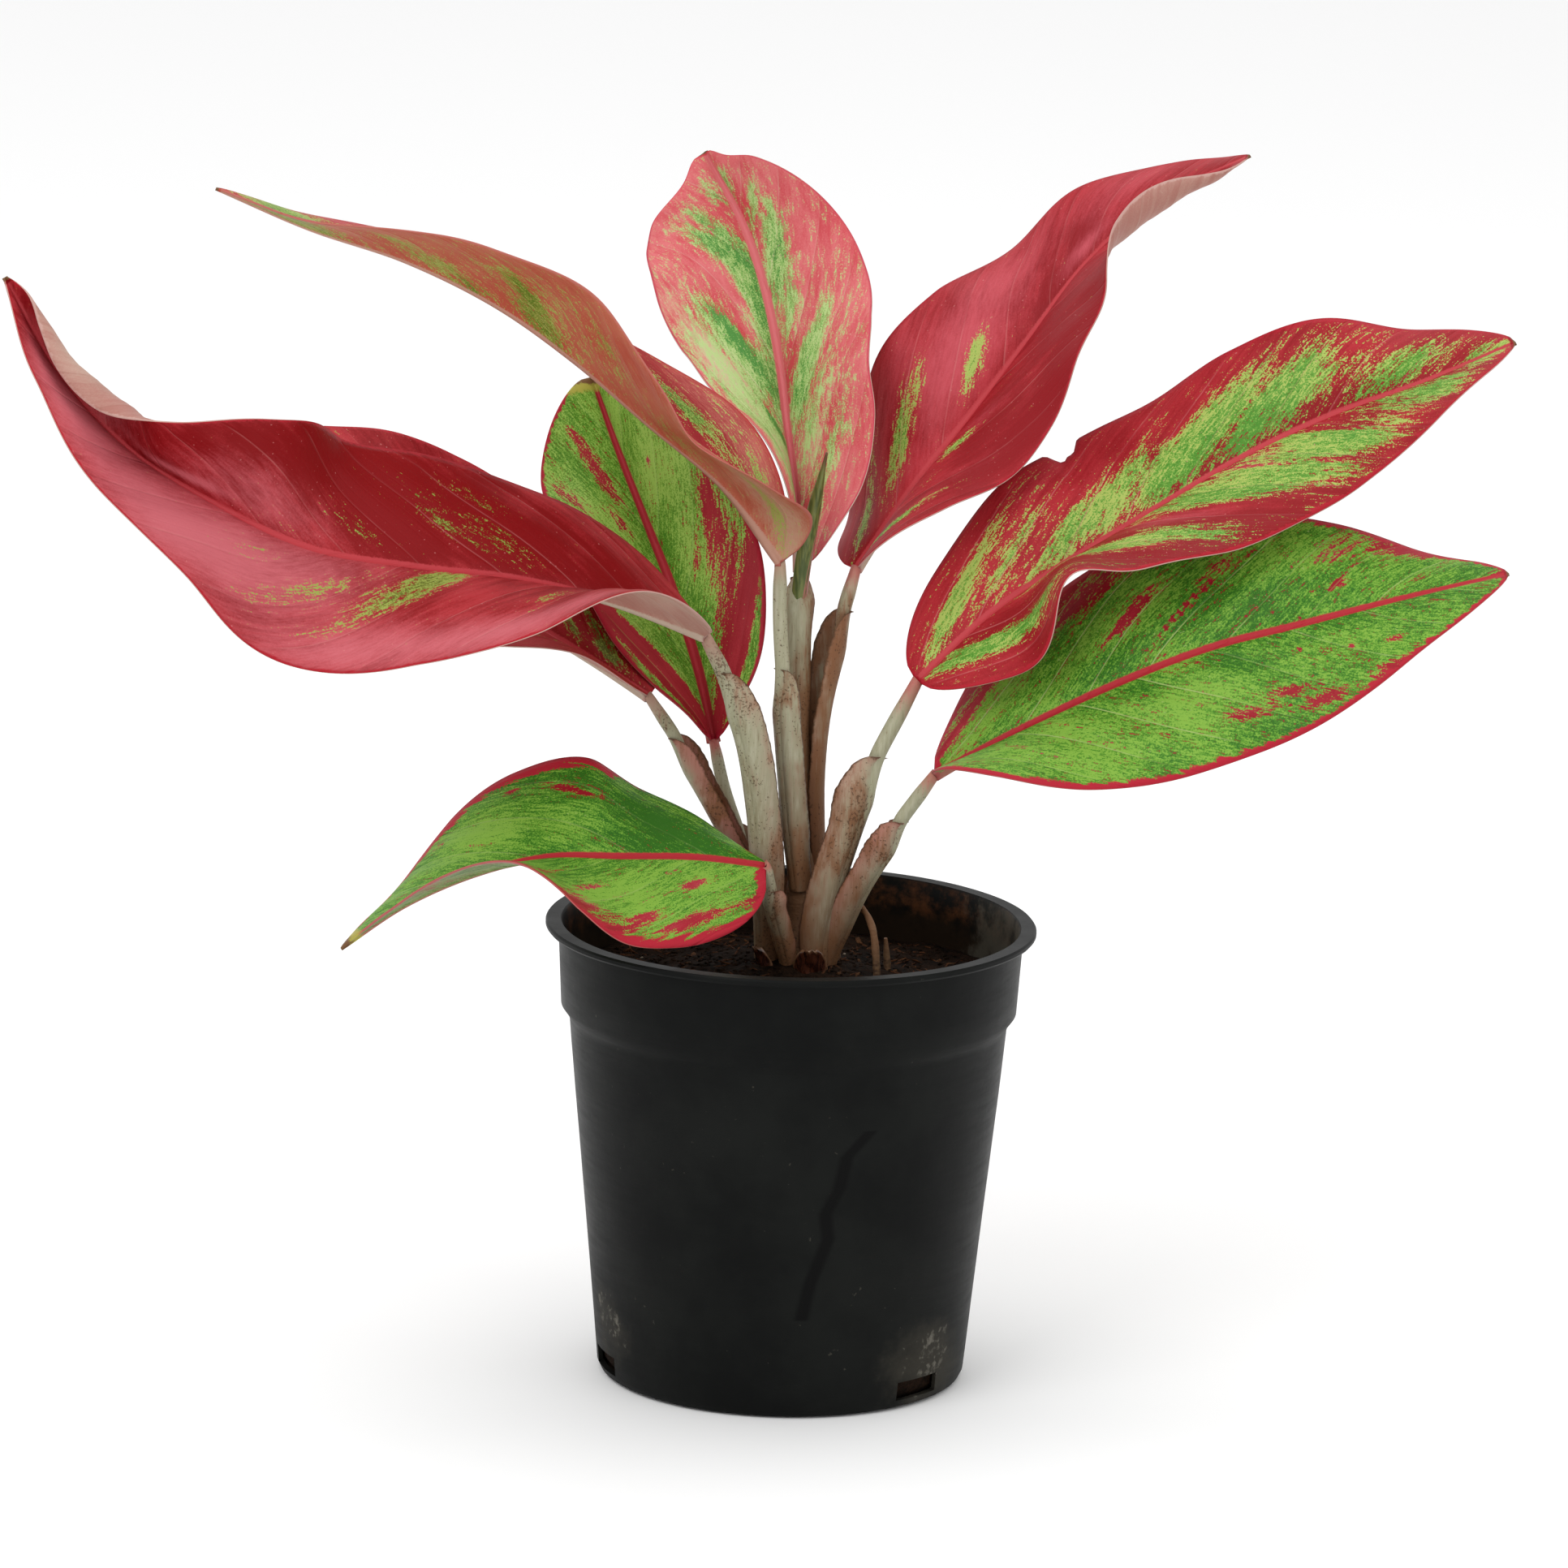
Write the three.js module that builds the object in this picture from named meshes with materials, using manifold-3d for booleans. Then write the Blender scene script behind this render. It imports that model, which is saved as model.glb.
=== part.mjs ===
// A red Chinese evergreen in its nursery pot: millimetres, +Z up, +X to the viewer's right, +Y away
// from the viewer. The origin is the centre of the pot's underside.
import * as THREE from "three";
import { mergeVertices } from "three/addons/utils/BufferGeometryUtils.js";
import Module from "manifold-3d";

const wasm = await Module();
wasm.setup();

// Pot
const POT_HEIGHT = 141.5;
const RIM_RADIUS = 75;
const COLLAR_RADIUS = 71;
const STEP_HEIGHT = 112.5;
const WALL = 1.3;
const FLOOR = 2;
const BASE_RADIUS = 56.4;
const POT_SIDES = 56;
const SLOT = { width: 17.5, bottom: 3.2, top: 9, turns: [318, 198, 78] };

// Soil: a mound that rises from the wall to the foot of the plant
const SOIL_AT_WALL = 122.5;
const SOIL_RISE = 8.3;
const SOIL_SPREAD = 60;
const FOOT_RISE = 2;
const FOOT_SPREAD = 15;

// Plant
const CROWN = { x: 4, y: 1 };
const FIT = 0.35;
const BLADE_EDGE = 0.7;
const RIB_DEPTH = 1.3;
const RIB_WIDTH = 2.2;
const ROW_STEPS = 16;
const ACROSS = [-1, -0.78, -0.52, -0.28, -0.09, 0, 0.09, 0.28, 0.52, 0.78, 1];

const COLOURS = {
  pot: { color: 0x17191a, roughness: 0.55 },
  soil: { color: 0x3a251b, roughness: 1 },
  cane: { color: 0x8c6a4e, roughness: 0.85 },
  stalk: { color: 0xb9a488, roughness: 0.6 },
  husk: { color: 0x4a2a20, roughness: 0.9 },
  red: { color: 0xa81f38, roughness: 0.45 },
  pink: { color: 0xd8697a, roughness: 0.45 },
  green: { color: 0x6fa12f, roughness: 0.45 },
  mixed: { color: 0xa8523c, roughness: 0.45 },
};

// The nine leaves. midrib: evenly spaced points from the foot of the blade to its tip. front: the way
// the upper face looks. width: half the blade's greatest width, with the powers of its outline at the
// foot and the tip. left and right: how steeply each half stands up from the leaf's own plane, in
// degrees, at nine even stations from foot to tip, seen from the foot with the upper face up.
// ripple: a short fold in one margin. camber: degrees by which a half arches between midrib and
// margin. curl: how a half rolls over towards the tip, which adds its turn to the camber. stalk: the
// middle line of the leaf stalk from the soil up; open: the side on which its sheath is open; radii:
// of the sheath and of the bare stalk; sheath: the part of the length that the sheath takes.
const LEAVES = {
  upper_left: {
    colour: "mixed",
    midrib: [[-6, 1, 253], [-23, -5, 277], [-46, -10, 297], [-69, -16, 317], [-93, -20, 334],
      [-120, -22, 347], [-149, -22, 356], [-177, -20, 367]],
    front: [0.6, 0.18, 0.78],
    width: { left: [37, 0.55, 0.9], right: [34, 0.7, 0.9] },
    left: [58, 18, 5, 14, 30, 26, 17, 4, 0],
    right: [60, 56, 38, 22, 17, 15, 17, 14, 15],
    camber: [10, 12],
    stalk: [[2.5, -2, 152], [0, -2, 176], [-3, -1, 205], [-5.5, 0, 232]],
    open: [0.8, 0.5, 0.2],
    radii: [4.2, 2.6],
    sheath: 0.62,
  },
  centre_back: {
    colour: "pink",
    midrib: [[0, 17, 247], [-2, 33, 266], [-5, 50, 284], [-8, 66, 302], [-13, 80, 322],
      [-21, 92, 342], [-33, 100, 362]],
    front: [0, -1, 0.3],
    width: { left: [36, 0.9, 0.45], right: [37, 0.45, 0.56] },
    left: [79, 82, 67, 41, 31, 25, 23, 14, 20],
    right: [55, 44, 40, 45, 38, 27, 22, 36, 56],
    camber: [12, 14],
    stalk: [[4, 5, 156], [1.5, 6.5, 177], [-0.5, 8.5, 198], [-0.8, 9.5, 219], [-0.8, 10.5, 238]],
    open: [0.4, 0.9, 0],
    radii: [4.3, 2.6],
    sheath: 0.93,
  },
  upper_right: {
    colour: "red",
    midrib: [[16.7, 14.5, 249], [32, 30.5, 270], [49, 43, 290], [67, 54, 313], [85, 62, 337],
      [107, 65, 357], [134, 60, 372]],
    front: [-0.3, -0.85, 0.45],
    width: { left: [36, 0.6, 0.85], right: [36, 0.6, 0.85] },
    left: [-30, -41, -19, 2, -7, -28, -22, -42, -50],
    right: [60, 38, 28, 30, 41, 47.5, 72, 82, 46],
    curl: { half: "right", from: 0.61, full: 0.87, turn: -86 },
    camber: [10, 12],
    stalk: [[9.5, 7, 140], [6, 7, 164], [5, 8, 186], [6.8, 9.5, 208], [12, 12, 231]],
    open: [-0.9, -0.4, 0.3],
    radii: [4.2, 2.6],
    sheath: 0.84,
  },
  right: {
    colour: "red",
    midrib: [[36, -6, 219], [57, -1, 239], [82, 3, 256], [107, 6, 272], [133, 9, 288],
      [159, 11, 301], [187, 12, 312], [214, 10, 325]],
    front: [-0.25, -0.72, 0.65],
    width: { left: [38, 0.55, 0.65], right: [40, 0.55, 0.65] },
    left: [-8, -11, 4, -5, -10, 0, 10, -12, -20],
    right: [18, 11.5, 29.7, 35.7, 22, 15, 16, 28, 35],
    ripple: { half: "right", at: 0.261, spread: 0.066, turn: 20.2 },
    camber: [10, 12],
    stalk: [[7, -8.5, 131], [8.3, -8.5, 146], [13.3, -8, 165.5], [21, -7, 188]],
    open: [-0.8, 0.5, 0.5],
    radii: [5.6, 2.9],
    sheath: 0.8,
  },
  lower_right: {
    colour: "green",
    midrib: [[42, -14, 192], [68, -19, 208], [95, -23, 223], [123, -27, 236], [152, -29, 245],
      [182, -30, 254], [212, -30, 262]],
    front: [-0.2, -0.65, 0.73],
    width: { left: [41, 0.55, 0.7], right: [38, 0.55, 0.7] },
    left: [-14, -2, 1, 7, 7, 13, 4, -18, -25],
    right: [60, 33, 6, -6, -12, -12, -1, 11, 20],
    camber: [10, 10],
    stalk: [[10.5, -5.8, 131], [13.7, -7.4, 142], [20.3, -10, 157.7], [30, -12.5, 174]],
    open: [-0.8, 0.3, 0.6],
    radii: [4.8, 2.6],
    sheath: 0.78,
  },
  left: {
    colour: "red",
    midrib: [[-28, -14, 233], [-56, -24, 245], [-85, -32, 253], [-115, -38, 257], [-146, -44, 263],
      [-174, -47, 276], [-201, -48, 293], [-222, -46, 315], [-238, -42, 342]],
    front: [0.1, -0.6, 0.8],
    width: { left: [40, 0.55, 0.85], right: [37, 0.55, 0.83] },
    left: [58, 58, 24, 4, -15, 8, 20, 34, 44],
    right: [-10, 0, 5, 15, 21, 66, 103, 120, 63],
    curl: { half: "right", from: 0.713, full: 0.817, turn: -110 },
    camber: [10, 10],
    stalk: [[-6.8, -4.8, 131], [-7.4, -6.9, 153], [-9.5, -10, 179], [-15, -12.3, 206]],
    open: [0.8, 0.5, 0.3],
    radii: [5.2, 2.9],
    sheath: 0.88,
  },
  left_back: {
    colour: "mixed",
    midrib: [[-45, 4, 210], [-66, 12, 221], [-86, 20, 231], [-107, 27, 243], [-127, 33, 254],
      [-148, 37, 267], [-169, 40, 279]],
    front: [0.15, -0.75, 0.65],
    width: { left: [33, 0.55, 0.65], right: [33, 0.55, 0.65] },
    left: [60, 60, 43, 28, 22, 26, 31, 37, 45],
    right: [-30, -12, -3, 0, 4, 14, 22, 2, -4],
    camber: [10, 10],
    stalk: [[-5.2, 5.5, 131], [-9.6, 5.5, 147], [-18.8, 4.5, 167.7], [-31, 4, 189]],
    open: [0.7, -0.1, 0.7],
    radii: [4.1, 2.4],
    sheath: 0.84,
  },
  back_left: {
    colour: "green",
    midrib: [[-25, 14, 194], [-31, 27, 215], [-39, 41, 235], [-48, 55, 254], [-57, 69, 273],
      [-66, 80, 294]],
    front: [0.1, -0.9, 0.4],
    width: { left: [33, 0.6, 0.55], right: [33, 0.6, 0.55] },
    left: [60, 40, 31, 31, 29, 28, 19, 22, 35],
    right: [58, 43, 36, 34, 41, 50, 56, 64, 66],
    camber: [10, 10],
    stalk: [[-1.5, 9.3, 131], [-6, 10.4, 144], [-13.8, 12, 159.5], [-21, 13.5, 178]],
    open: [0.7, -0.4, 0.4],
    radii: [3.4, 2.3],
    sheath: 0.6,
  },
  front_low: {
    colour: "green",
    midrib: [[-8, -20, 164], [-30, -25, 167], [-52, -31, 168], [-74, -38, 169], [-95, -45, 165],
      [-116, -50, 156], [-135, -54, 143]],
    front: [0.1, -0.5, 0.85],
    width: { left: [35, 0.45, 0.9], right: [35, 0.9, 0.9] },
    left: [-10, -8, -7, -2, 16, 49, 56, 56, 58],
    right: [-16, -4, 1, 17, 2, -14, -28, -39, -40],
    camber: [8, 10],
    stalk: [[-0.5, -10.5, 130.5], [-2.4, -13.4, 139.5], [-4.8, -16.8, 148.8], [-6.8, -19, 157]],
    open: [0.6, 0.8, 0.2],
    radii: [3, 2.3],
    sheath: 0.7,
  },
};

const radians = THREE.MathUtils.degToRad;
const { lerp, smoothstep } = THREE.MathUtils;
const vector = (p) => new THREE.Vector3(...p);

// Smooth curve through evenly spaced points, at the fraction t of its length.
function pathThrough(points) {
  const curve = new THREE.CatmullRomCurve3(points.map(vector), false, "catmullrom", 0.5);
  return (t) => curve.getPoint(t);
}

// The same curve for plain numbers at even stations.
function valueThrough(values) {
  const curve = new THREE.SplineCurve(values.map((v, i) => new THREE.Vector2(i, v)));
  return (t) => curve.getPoint(t).y;
}

// A closed solid from rings of points: every ring has the same number of points, in order round the
// section. split joins the two ends' own points into triangles.
function skinRings(rings, split) {
  const count = rings[0].length;
  const index = [];
  for (let r = 0; r + 1 < rings.length; r++) {
    for (let i = 0; i < count; i++) {
      const a = r * count + i;
      const b = r * count + ((i + 1) % count);
      index.push(a, b, b + count, a, b + count, a + count);
    }
  }
  const last = (rings.length - 1) * count;
  for (const [a, b, c] of split) {
    index.push(c, b, a, last + a, last + b, last + c);
  }
  const geometry = new THREE.BufferGeometry().setFromPoints(rings.flat());
  geometry.setIndex(index);
  return solidOf(geometry);
}

// Triangles of a convex end.
function fan(count) {
  return Array.from({ length: count - 2 }, (_, i) => [0, i + 1, i + 2]);
}

// A geometry as a solid that can be cut and joined, turned the right way out.
function solidOf(geometry) {
  const bare = geometry.clone();
  bare.deleteAttribute("normal");
  bare.deleteAttribute("uv");
  const merged = mergeVertices(bare, 1e-4);
  const triVerts = new Uint32Array(merged.index.array);
  const make = () => new wasm.Manifold(new wasm.Mesh({
    numProp: 3,
    vertProperties: merged.attributes.position.array,
    triVerts,
  }));
  const solid = make();
  if (solid.volume() > 0) {
    return solid;
  }
  triVerts.reverse();
  return make();
}

function geometryOf(solid) {
  const mesh = solid.getMesh();
  const geometry = new THREE.BufferGeometry();
  geometry.setAttribute("position", new THREE.BufferAttribute(mesh.vertProperties, 3));
  geometry.setIndex(new THREE.BufferAttribute(mesh.triVerts, 1));
  return geometry;
}

// The largest body of a cut solid, without the crumbs that a cut leaves.
function mainBody(solid) {
  return solid.decompose().sort((a, b) => b.volume() - a.volume())[0];
}

// A round tube along points, with its radius given at even stations.
function tube(points, radii, sides, steps) {
  const path = pathThrough(points);
  const radius = valueThrough(radii);
  const rings = [];
  for (let k = 0; k <= steps; k++) {
    const t = k / steps;
    const along = path(Math.min(1, t + 0.01)).sub(path(Math.max(0, t - 0.01))).normalize();
    const across = new THREE.Vector3(0.1, 1, 0.2).cross(along).normalize();
    const third = along.clone().cross(across);
    rings.push(Array.from({ length: sides }, (_, i) => {
      const turn = (i / sides) * Math.PI * 2;
      return path(t)
        .addScaledVector(across, radius(t) * Math.cos(turn))
        .addScaledVector(third, radius(t) * Math.sin(turn));
    }));
  }
  return skinRings(rings, fan(sides));
}

// Pot: thin wall with a collar, a flat lip and a flat underside, and three drain slots at its foot.
function makePot() {
  const outline = [
    [0, 0], [BASE_RADIUS - 3.5, 0], [BASE_RADIUS - 1, 1], [BASE_RADIUS, 3],
    [66.9, STEP_HEIGHT - 2], [67.5, STEP_HEIGHT],
    [69.7, STEP_HEIGHT + 3], [COLLAR_RADIUS, POT_HEIGHT - 3], [RIM_RADIUS - 0.6, POT_HEIGHT - 2.2],
    [RIM_RADIUS, POT_HEIGHT - 1.5], [RIM_RADIUS, POT_HEIGHT - 0.6], [RIM_RADIUS - 0.5, POT_HEIGHT],
    [COLLAR_RADIUS - WALL + 0.6, POT_HEIGHT], [COLLAR_RADIUS - WALL, POT_HEIGHT - 1],
    [69.7 - WALL, STEP_HEIGHT + 3], [67.5 - WALL, STEP_HEIGHT], [BASE_RADIUS - WALL, 4],
    [BASE_RADIUS - 3, FLOOR], [0, FLOOR],
  ];
  const lathe = new THREE.LatheGeometry(outline.map(([r, z]) => new THREE.Vector2(r, z)), POT_SIDES);
  lathe.rotateX(Math.PI / 2);
  let pot = solidOf(lathe);
  for (const turn of SLOT.turns) {
    const box = new THREE.BoxGeometry(12, SLOT.width, SLOT.top - SLOT.bottom);
    box.translate(57, 0, (SLOT.top + SLOT.bottom) / 2);
    box.rotateZ(radians(turn));
    pot = pot.subtract(solidOf(box));
  }
  return pot;
}

// Height of the soil, with gentle lumps.
function soilHeight(x, y) {
  const r = Math.hypot(x, y);
  const mound = SOIL_RISE * (0.5 + 0.5 * Math.cos(Math.PI * Math.min(1, r / SOIL_SPREAD)));
  const fromCrown = Math.hypot(x - CROWN.x, y - CROWN.y) / FOOT_SPREAD;
  const foot = FOOT_RISE * Math.exp(-(fromCrown ** 2));
  const broad = 0.7 * Math.sin(x * 0.21 + 1) * Math.cos(y * 0.17);
  const lumps = broad + 0.4 * Math.sin(y * 0.33 + x * 0.12);
  return SOIL_AT_WALL + mound + foot + lumps * Math.min(1, r / 15);
}

// Soil: fills the pot up to the mound, as rings from the middle of the top, over the edge, to the
// middle of the underside.
function makeSoil(grow) {
  const sides = 36;
  const top = [6, 13, 20, 28, 38, 50, 68.6];
  const wall = [[66, STEP_HEIGHT], [BASE_RADIUS - WALL - FIT, 5], [BASE_RADIUS - 3.5, FLOOR + FIT]];
  const ring = (radius, height) => Array.from({ length: sides }, (_, i) => {
    const turn = (i / sides) * Math.PI * 2;
    const x = radius * Math.cos(turn);
    const y = radius * Math.sin(turn);
    return new THREE.Vector3(x, y, height ?? soilHeight(x, y) + grow);
  });
  const rings = [...top.map((r) => ring(r)), ...wall.map(([r, z]) => ring(r - FIT, z))];
  return skinRings(rings, fan(sides));
}

// Cane: the short upright stem, thick and corky at its foot, with its main roots and one root that
// arches over the soil.
function makeCane(grow) {
  const { x, y } = CROWN;
  const cane = [98, 107, 116, 125, 134, 143, 152, 158].map((z) => [x, y, z]);
  let solid = tube(cane, [5, 8.5, 11, 11.8, 10.8, 6.4, 5.6, 4.6].map((r) => r + grow), 14, 12);
  const roots = 5;
  for (let i = 0; i < roots; i++) {
    const turn = radians(25 + (360 / roots) * i);
    const out = (r, bend) => [x + r * Math.cos(turn + bend), y + r * Math.sin(turn + bend)];
    const drop = 8 * (i % 3);
    const points = [
      [...out(2, 0), 106 + 2 * i],
      [...out(16, 0.1), 98 - drop],
      [...out(33, 0.3), 78 - drop],
      [...out(44, 0.5), 46 - drop],
    ];
    solid = solid.add(tube(points, [2.2, 1.9, 1.6, 1.1].map((r) => r + grow), 6, 6));
  }
  const arch = [[x + 4, y, 138], [15, 1, 146], [20.5, -4, 148], [25, -9, 141], [27, -10.5, 122]];
  return solid.add(tube(arch, [1, 0.9, 0.9, 0.8, 0.8].map((r) => r + grow), 6, 10));
}

// Leaf stalk: a sheath, open on one side, that clasps the stem and closes to a rod below the blade.
function makeStalk(leaf, grow) {
  const foot = vector(leaf.midrib[0]);
  const toward = vector(leaf.midrib[1]).sub(foot).normalize();
  const end = foot.clone().addScaledVector(toward, -FIT);
  const path = pathThrough([...leaf.stalk, end.toArray()]);
  const open = vector(leaf.open);
  const [wide, bare] = leaf.radii;
  const steps = 11;
  const side = 6;
  const rings = [];
  for (let k = 0; k <= steps; k++) {
    const t = k / steps;
    const along = path(Math.min(1, t + 0.01)).sub(path(Math.max(0, t - 0.01))).normalize();
    if (k === steps) {
      along.copy(toward);
    }
    const up = open.clone().addScaledVector(along, -open.dot(along)).normalize();
    const across = along.clone().cross(up);
    const closing = smoothstep(t, leaf.sheath - 0.12, leaf.sheath + 0.04);
    const filled = Math.max(closing, lerp(0.6, 0.25, Math.min(1, t / (leaf.sheath * 0.5))));
    const swell = lerp(0.8, 1, smoothstep(t, 0, leaf.sheath * 0.4));
    const radius = lerp(wide * swell, lerp(bare, bare * 0.86, t), closing) + grow;
    const wall = 1.4 + 2 * grow;
    const outer = [];
    const inner = [];
    for (let i = 0; i <= side; i++) {
      const turn = radians(lerp(-120, 120, i / side));
      outer.push([radius * Math.sin(turn), -radius * Math.cos(turn)]);
      const bore = radius - wall;
      const hollow = [bore * Math.sin(turn * 0.94), -bore * Math.cos(turn * 0.94)];
      const bulge = 0.22 * Math.sin(Math.PI * i / side);
      const flat = [radius * 0.78 * (i / side * 2 - 1), radius * (0.52 + bulge)];
      inner.push([lerp(hollow[0], flat[0], filled), lerp(hollow[1], flat[1], filled)]);
    }
    rings.push([...outer, ...inner.reverse()].map(([u, v]) => (
      path(t).addScaledVector(across, u).addScaledVector(up, v)
    )));
  }
  const split = [];
  for (let i = 0; i < side; i++) {
    const far = 2 * side + 1 - i;
    split.push([i, i + 1, far], [i + 1, far - 1, far]);
  }
  return skinRings(rings, split);
}

// The extra turn of a half at a ripple in its margin.
function rippleTurn(leaf, half, t) {
  const { ripple } = leaf;
  if (ripple?.half !== half) {
    return 0;
  }
  return ripple.turn * Math.exp(-(((t - ripple.at) / ripple.spread) ** 2));
}

// The arch of a half between midrib and margin, with the curl of a rolled tip, which ends short of
// the very point.
function archAt(leaf, half, t) {
  const arch = leaf.camber[half === "left" ? 0 : 1];
  const { curl } = leaf;
  if (curl?.half !== half) {
    return arch;
  }
  return arch + curl.turn * smoothstep(t, curl.from, curl.full) * (1 - smoothstep(t, 0.93, 1));
}

// One point of a blade's upper face: t runs from foot to tip, s from the left margin (-1) to the
// right margin (1).
function bladePoint(leaf, t, s) {
  const path = leaf.path ??= pathThrough(leaf.midrib);
  const along = path(Math.min(1, t + 0.01)).sub(path(Math.max(0, t - 0.01))).normalize();
  const front = vector(leaf.front);
  const face = front.addScaledVector(along, -front.dot(along)).normalize();
  const across = along.clone().cross(face);
  const half = s < 0 ? "left" : "right";
  const [greatest, foot, tip] = leaf.width[half];
  const widest = foot / (foot + tip);
  const outline = (t / widest) ** foot * ((1 - t) / (1 - widest)) ** tip;
  const width = greatest * outline + lerp(1.6, 0.4, t);
  const mean = valueThrough(leaf[half])(t) + rippleTurn(leaf, half, t);
  const arch = archAt(leaf, half, t);
  let reach = 0;
  let rise = 0;
  const pieces = 8;
  for (let i = 0; i < pieces; i++) {
    const angle = radians(mean + arch * (1 - 2 * Math.abs(s) * (i + 0.5) / pieces));
    reach += Math.cos(angle) / pieces;
    rise += Math.sin(angle) / pieces;
  }
  return path(t).addScaledVector(across, s * width * reach)
    .addScaledVector(face, Math.abs(s) * width * rise);
}

// Blade: both faces have the same triangles, the lower one set in by the thickness, which grows
// towards the midrib.
function makeBlade(leaf) {
  const upper = [];
  const lower = [];
  const small = 0.004;
  for (let k = 0; k <= ROW_STEPS; k++) {
    const t = k / ROW_STEPS;
    for (const s of ACROSS) {
      const point = bladePoint(leaf, t, s);
      const [t0, t1] = [Math.max(0, t - small), Math.min(1, t + small)];
      const [s0, s1] = [Math.max(-1, s - 0.05), Math.min(1, s + 0.05)];
      const lengthwise = bladePoint(leaf, t1, s).sub(bladePoint(leaf, t0, s));
      const sideways = bladePoint(leaf, t, s1).sub(bladePoint(leaf, t, s0));
      const normal = sideways.cross(lengthwise).normalize();
      const fromRib = Math.abs(s) * leaf.width.left[0] / RIB_WIDTH;
      const thick = BLADE_EDGE + RIB_DEPTH * (1 - 0.7 * t) * Math.exp(-(fromRib ** 2));
      upper.push(point);
      lower.push(point.clone().addScaledVector(normal, -thick));
    }
  }
  const columns = ACROSS.length;
  const index = [];
  const under = upper.length;
  const quad = (a, b, c, d) => index.push(a, b, c, a, c, d);
  for (let k = 0; k < ROW_STEPS; k++) {
    for (let i = 0; i + 1 < columns; i++) {
      const a = k * columns + i;
      quad(a, a + 1, a + 1 + columns, a + columns);
      index.push(under + a, under + a + 1 + columns, under + a + 1);
      index.push(under + a, under + a + columns, under + a + 1 + columns);
    }
    const left = k * columns;
    const right = left + columns - 1;
    quad(left, left + columns, under + left + columns, under + left);
    quad(right, under + right, under + right + columns, right + columns);
  }
  const last = ROW_STEPS * columns;
  for (let i = 0; i + 1 < columns; i++) {
    quad(i, under + i, under + i + 1, i + 1);
    quad(last + i, last + i + 1, under + last + i + 1, under + last + i);
  }
  const geometry = new THREE.BufferGeometry().setFromPoints([...upper, ...lower]);
  geometry.setIndex(index);
  return solidOf(geometry);
}

// Spear: the youngest leaf, still rolled up, which leaves the sheath of the leaf before it.
function makeSpear(grow) {
  const points = [[-0.6, 9, 216], [-0.6, 9.5, 233], [0.6, 8, 251], [3.6, 5, 269], [7, 2, 287]];
  return tube(points, [2, 2.2, 2.6, 2.1, 0.4].map((r) => r + grow), 10, 10);
}

// Husk: a dry curled scale at the foot of the crown.
function makeHusk(centre, turn, width, height) {
  const rings = [];
  const steps = 6;
  for (let k = 0; k <= steps; k++) {
    const t = k / steps;
    const half = (width / 2) * Math.sqrt(1 - 0.85 * t * t);
    const section = (depth) => Array.from({ length: 6 }, (_, i) => {
      const u = i / 2.5 - 1;
      return new THREE.Vector3(u * half, -depth - 3 * t * t + 2.2 * u * u, height * t);
    });
    rings.push([...section(0.9), ...section(0).reverse()]);
  }
  const split = [];
  for (let i = 0; i < 5; i++) {
    split.push([i, i + 1, 11 - i], [i + 1, 10 - i, 11 - i]);
  }
  const matrix = new THREE.Matrix4().makeRotationZ(radians(turn)).setPosition(vector(centre));
  const placed = rings.map((ring) => ring.map((p) => p.applyMatrix4(matrix)));
  return skinRings(placed, split);
}

const plant = new THREE.Group();

function place(name, solid, colour) {
  const material = new THREE.MeshStandardMaterial({ ...COLOURS[colour], metalness: 0 });
  const mesh = new THREE.Mesh(geometryOf(solid), material);
  mesh.name = name;
  plant.add(mesh);
}

place("pot", makePot(), "pot");
place("cane_with_roots", makeCane(0), "cane");
place("rolled_young_leaf", makeSpear(0), "green");

// The younger a stalk, the nearer it sits to the cane: each is cut clear of those inside it.
let inside = makeCane(FIT).add(makeSpear(FIT));
const youngestFirst = ["centre_back", "upper_left", "upper_right", "right", "left", "lower_right",
  "front_low", "left_back", "back_left"];
for (const name of youngestFirst) {
  const leaf = LEAVES[name];
  place(`stalk_${name}`, mainBody(makeStalk(leaf, 0).subtract(inside)), "stalk");
  inside = inside.add(makeStalk(leaf, FIT));
}
for (const [name, leaf] of Object.entries(LEAVES)) {
  place(`blade_${name}`, makeBlade(leaf), leaf.colour);
}
place("soil", mainBody(makeSoil(0).subtract(inside)), "soil");

const HUSKS = {
  husk_front: makeHusk([6, -15.5, 129], 0, 11, 8),
  husk_left: makeHusk([-9, -11.5, 129], -50, 6.5, 7.5),
};
for (const [name, husk] of Object.entries(HUSKS)) {
  place(name, mainBody(husk.subtract(inside).subtract(makeSoil(FIT))), "husk");
}

export default plant;
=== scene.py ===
# %% [markdown]
# # A potted red Chinese evergreen
# The packed model gives the pot, the soil, the cane and nine leaves at their real size. This script
# keeps each of those forms and gives it the finish of the living plant: painted blades with veins,
# torn sheaths, a dusty nursery pot and loose soil. Lengths in the tables are millimetres, as on a
# gardener's ruler, and MM turns them into metres.

# %% Load the frame
import math

import bmesh
import bpy
import numpy as np
from mathutils import Matrix, Vector, noise


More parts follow.
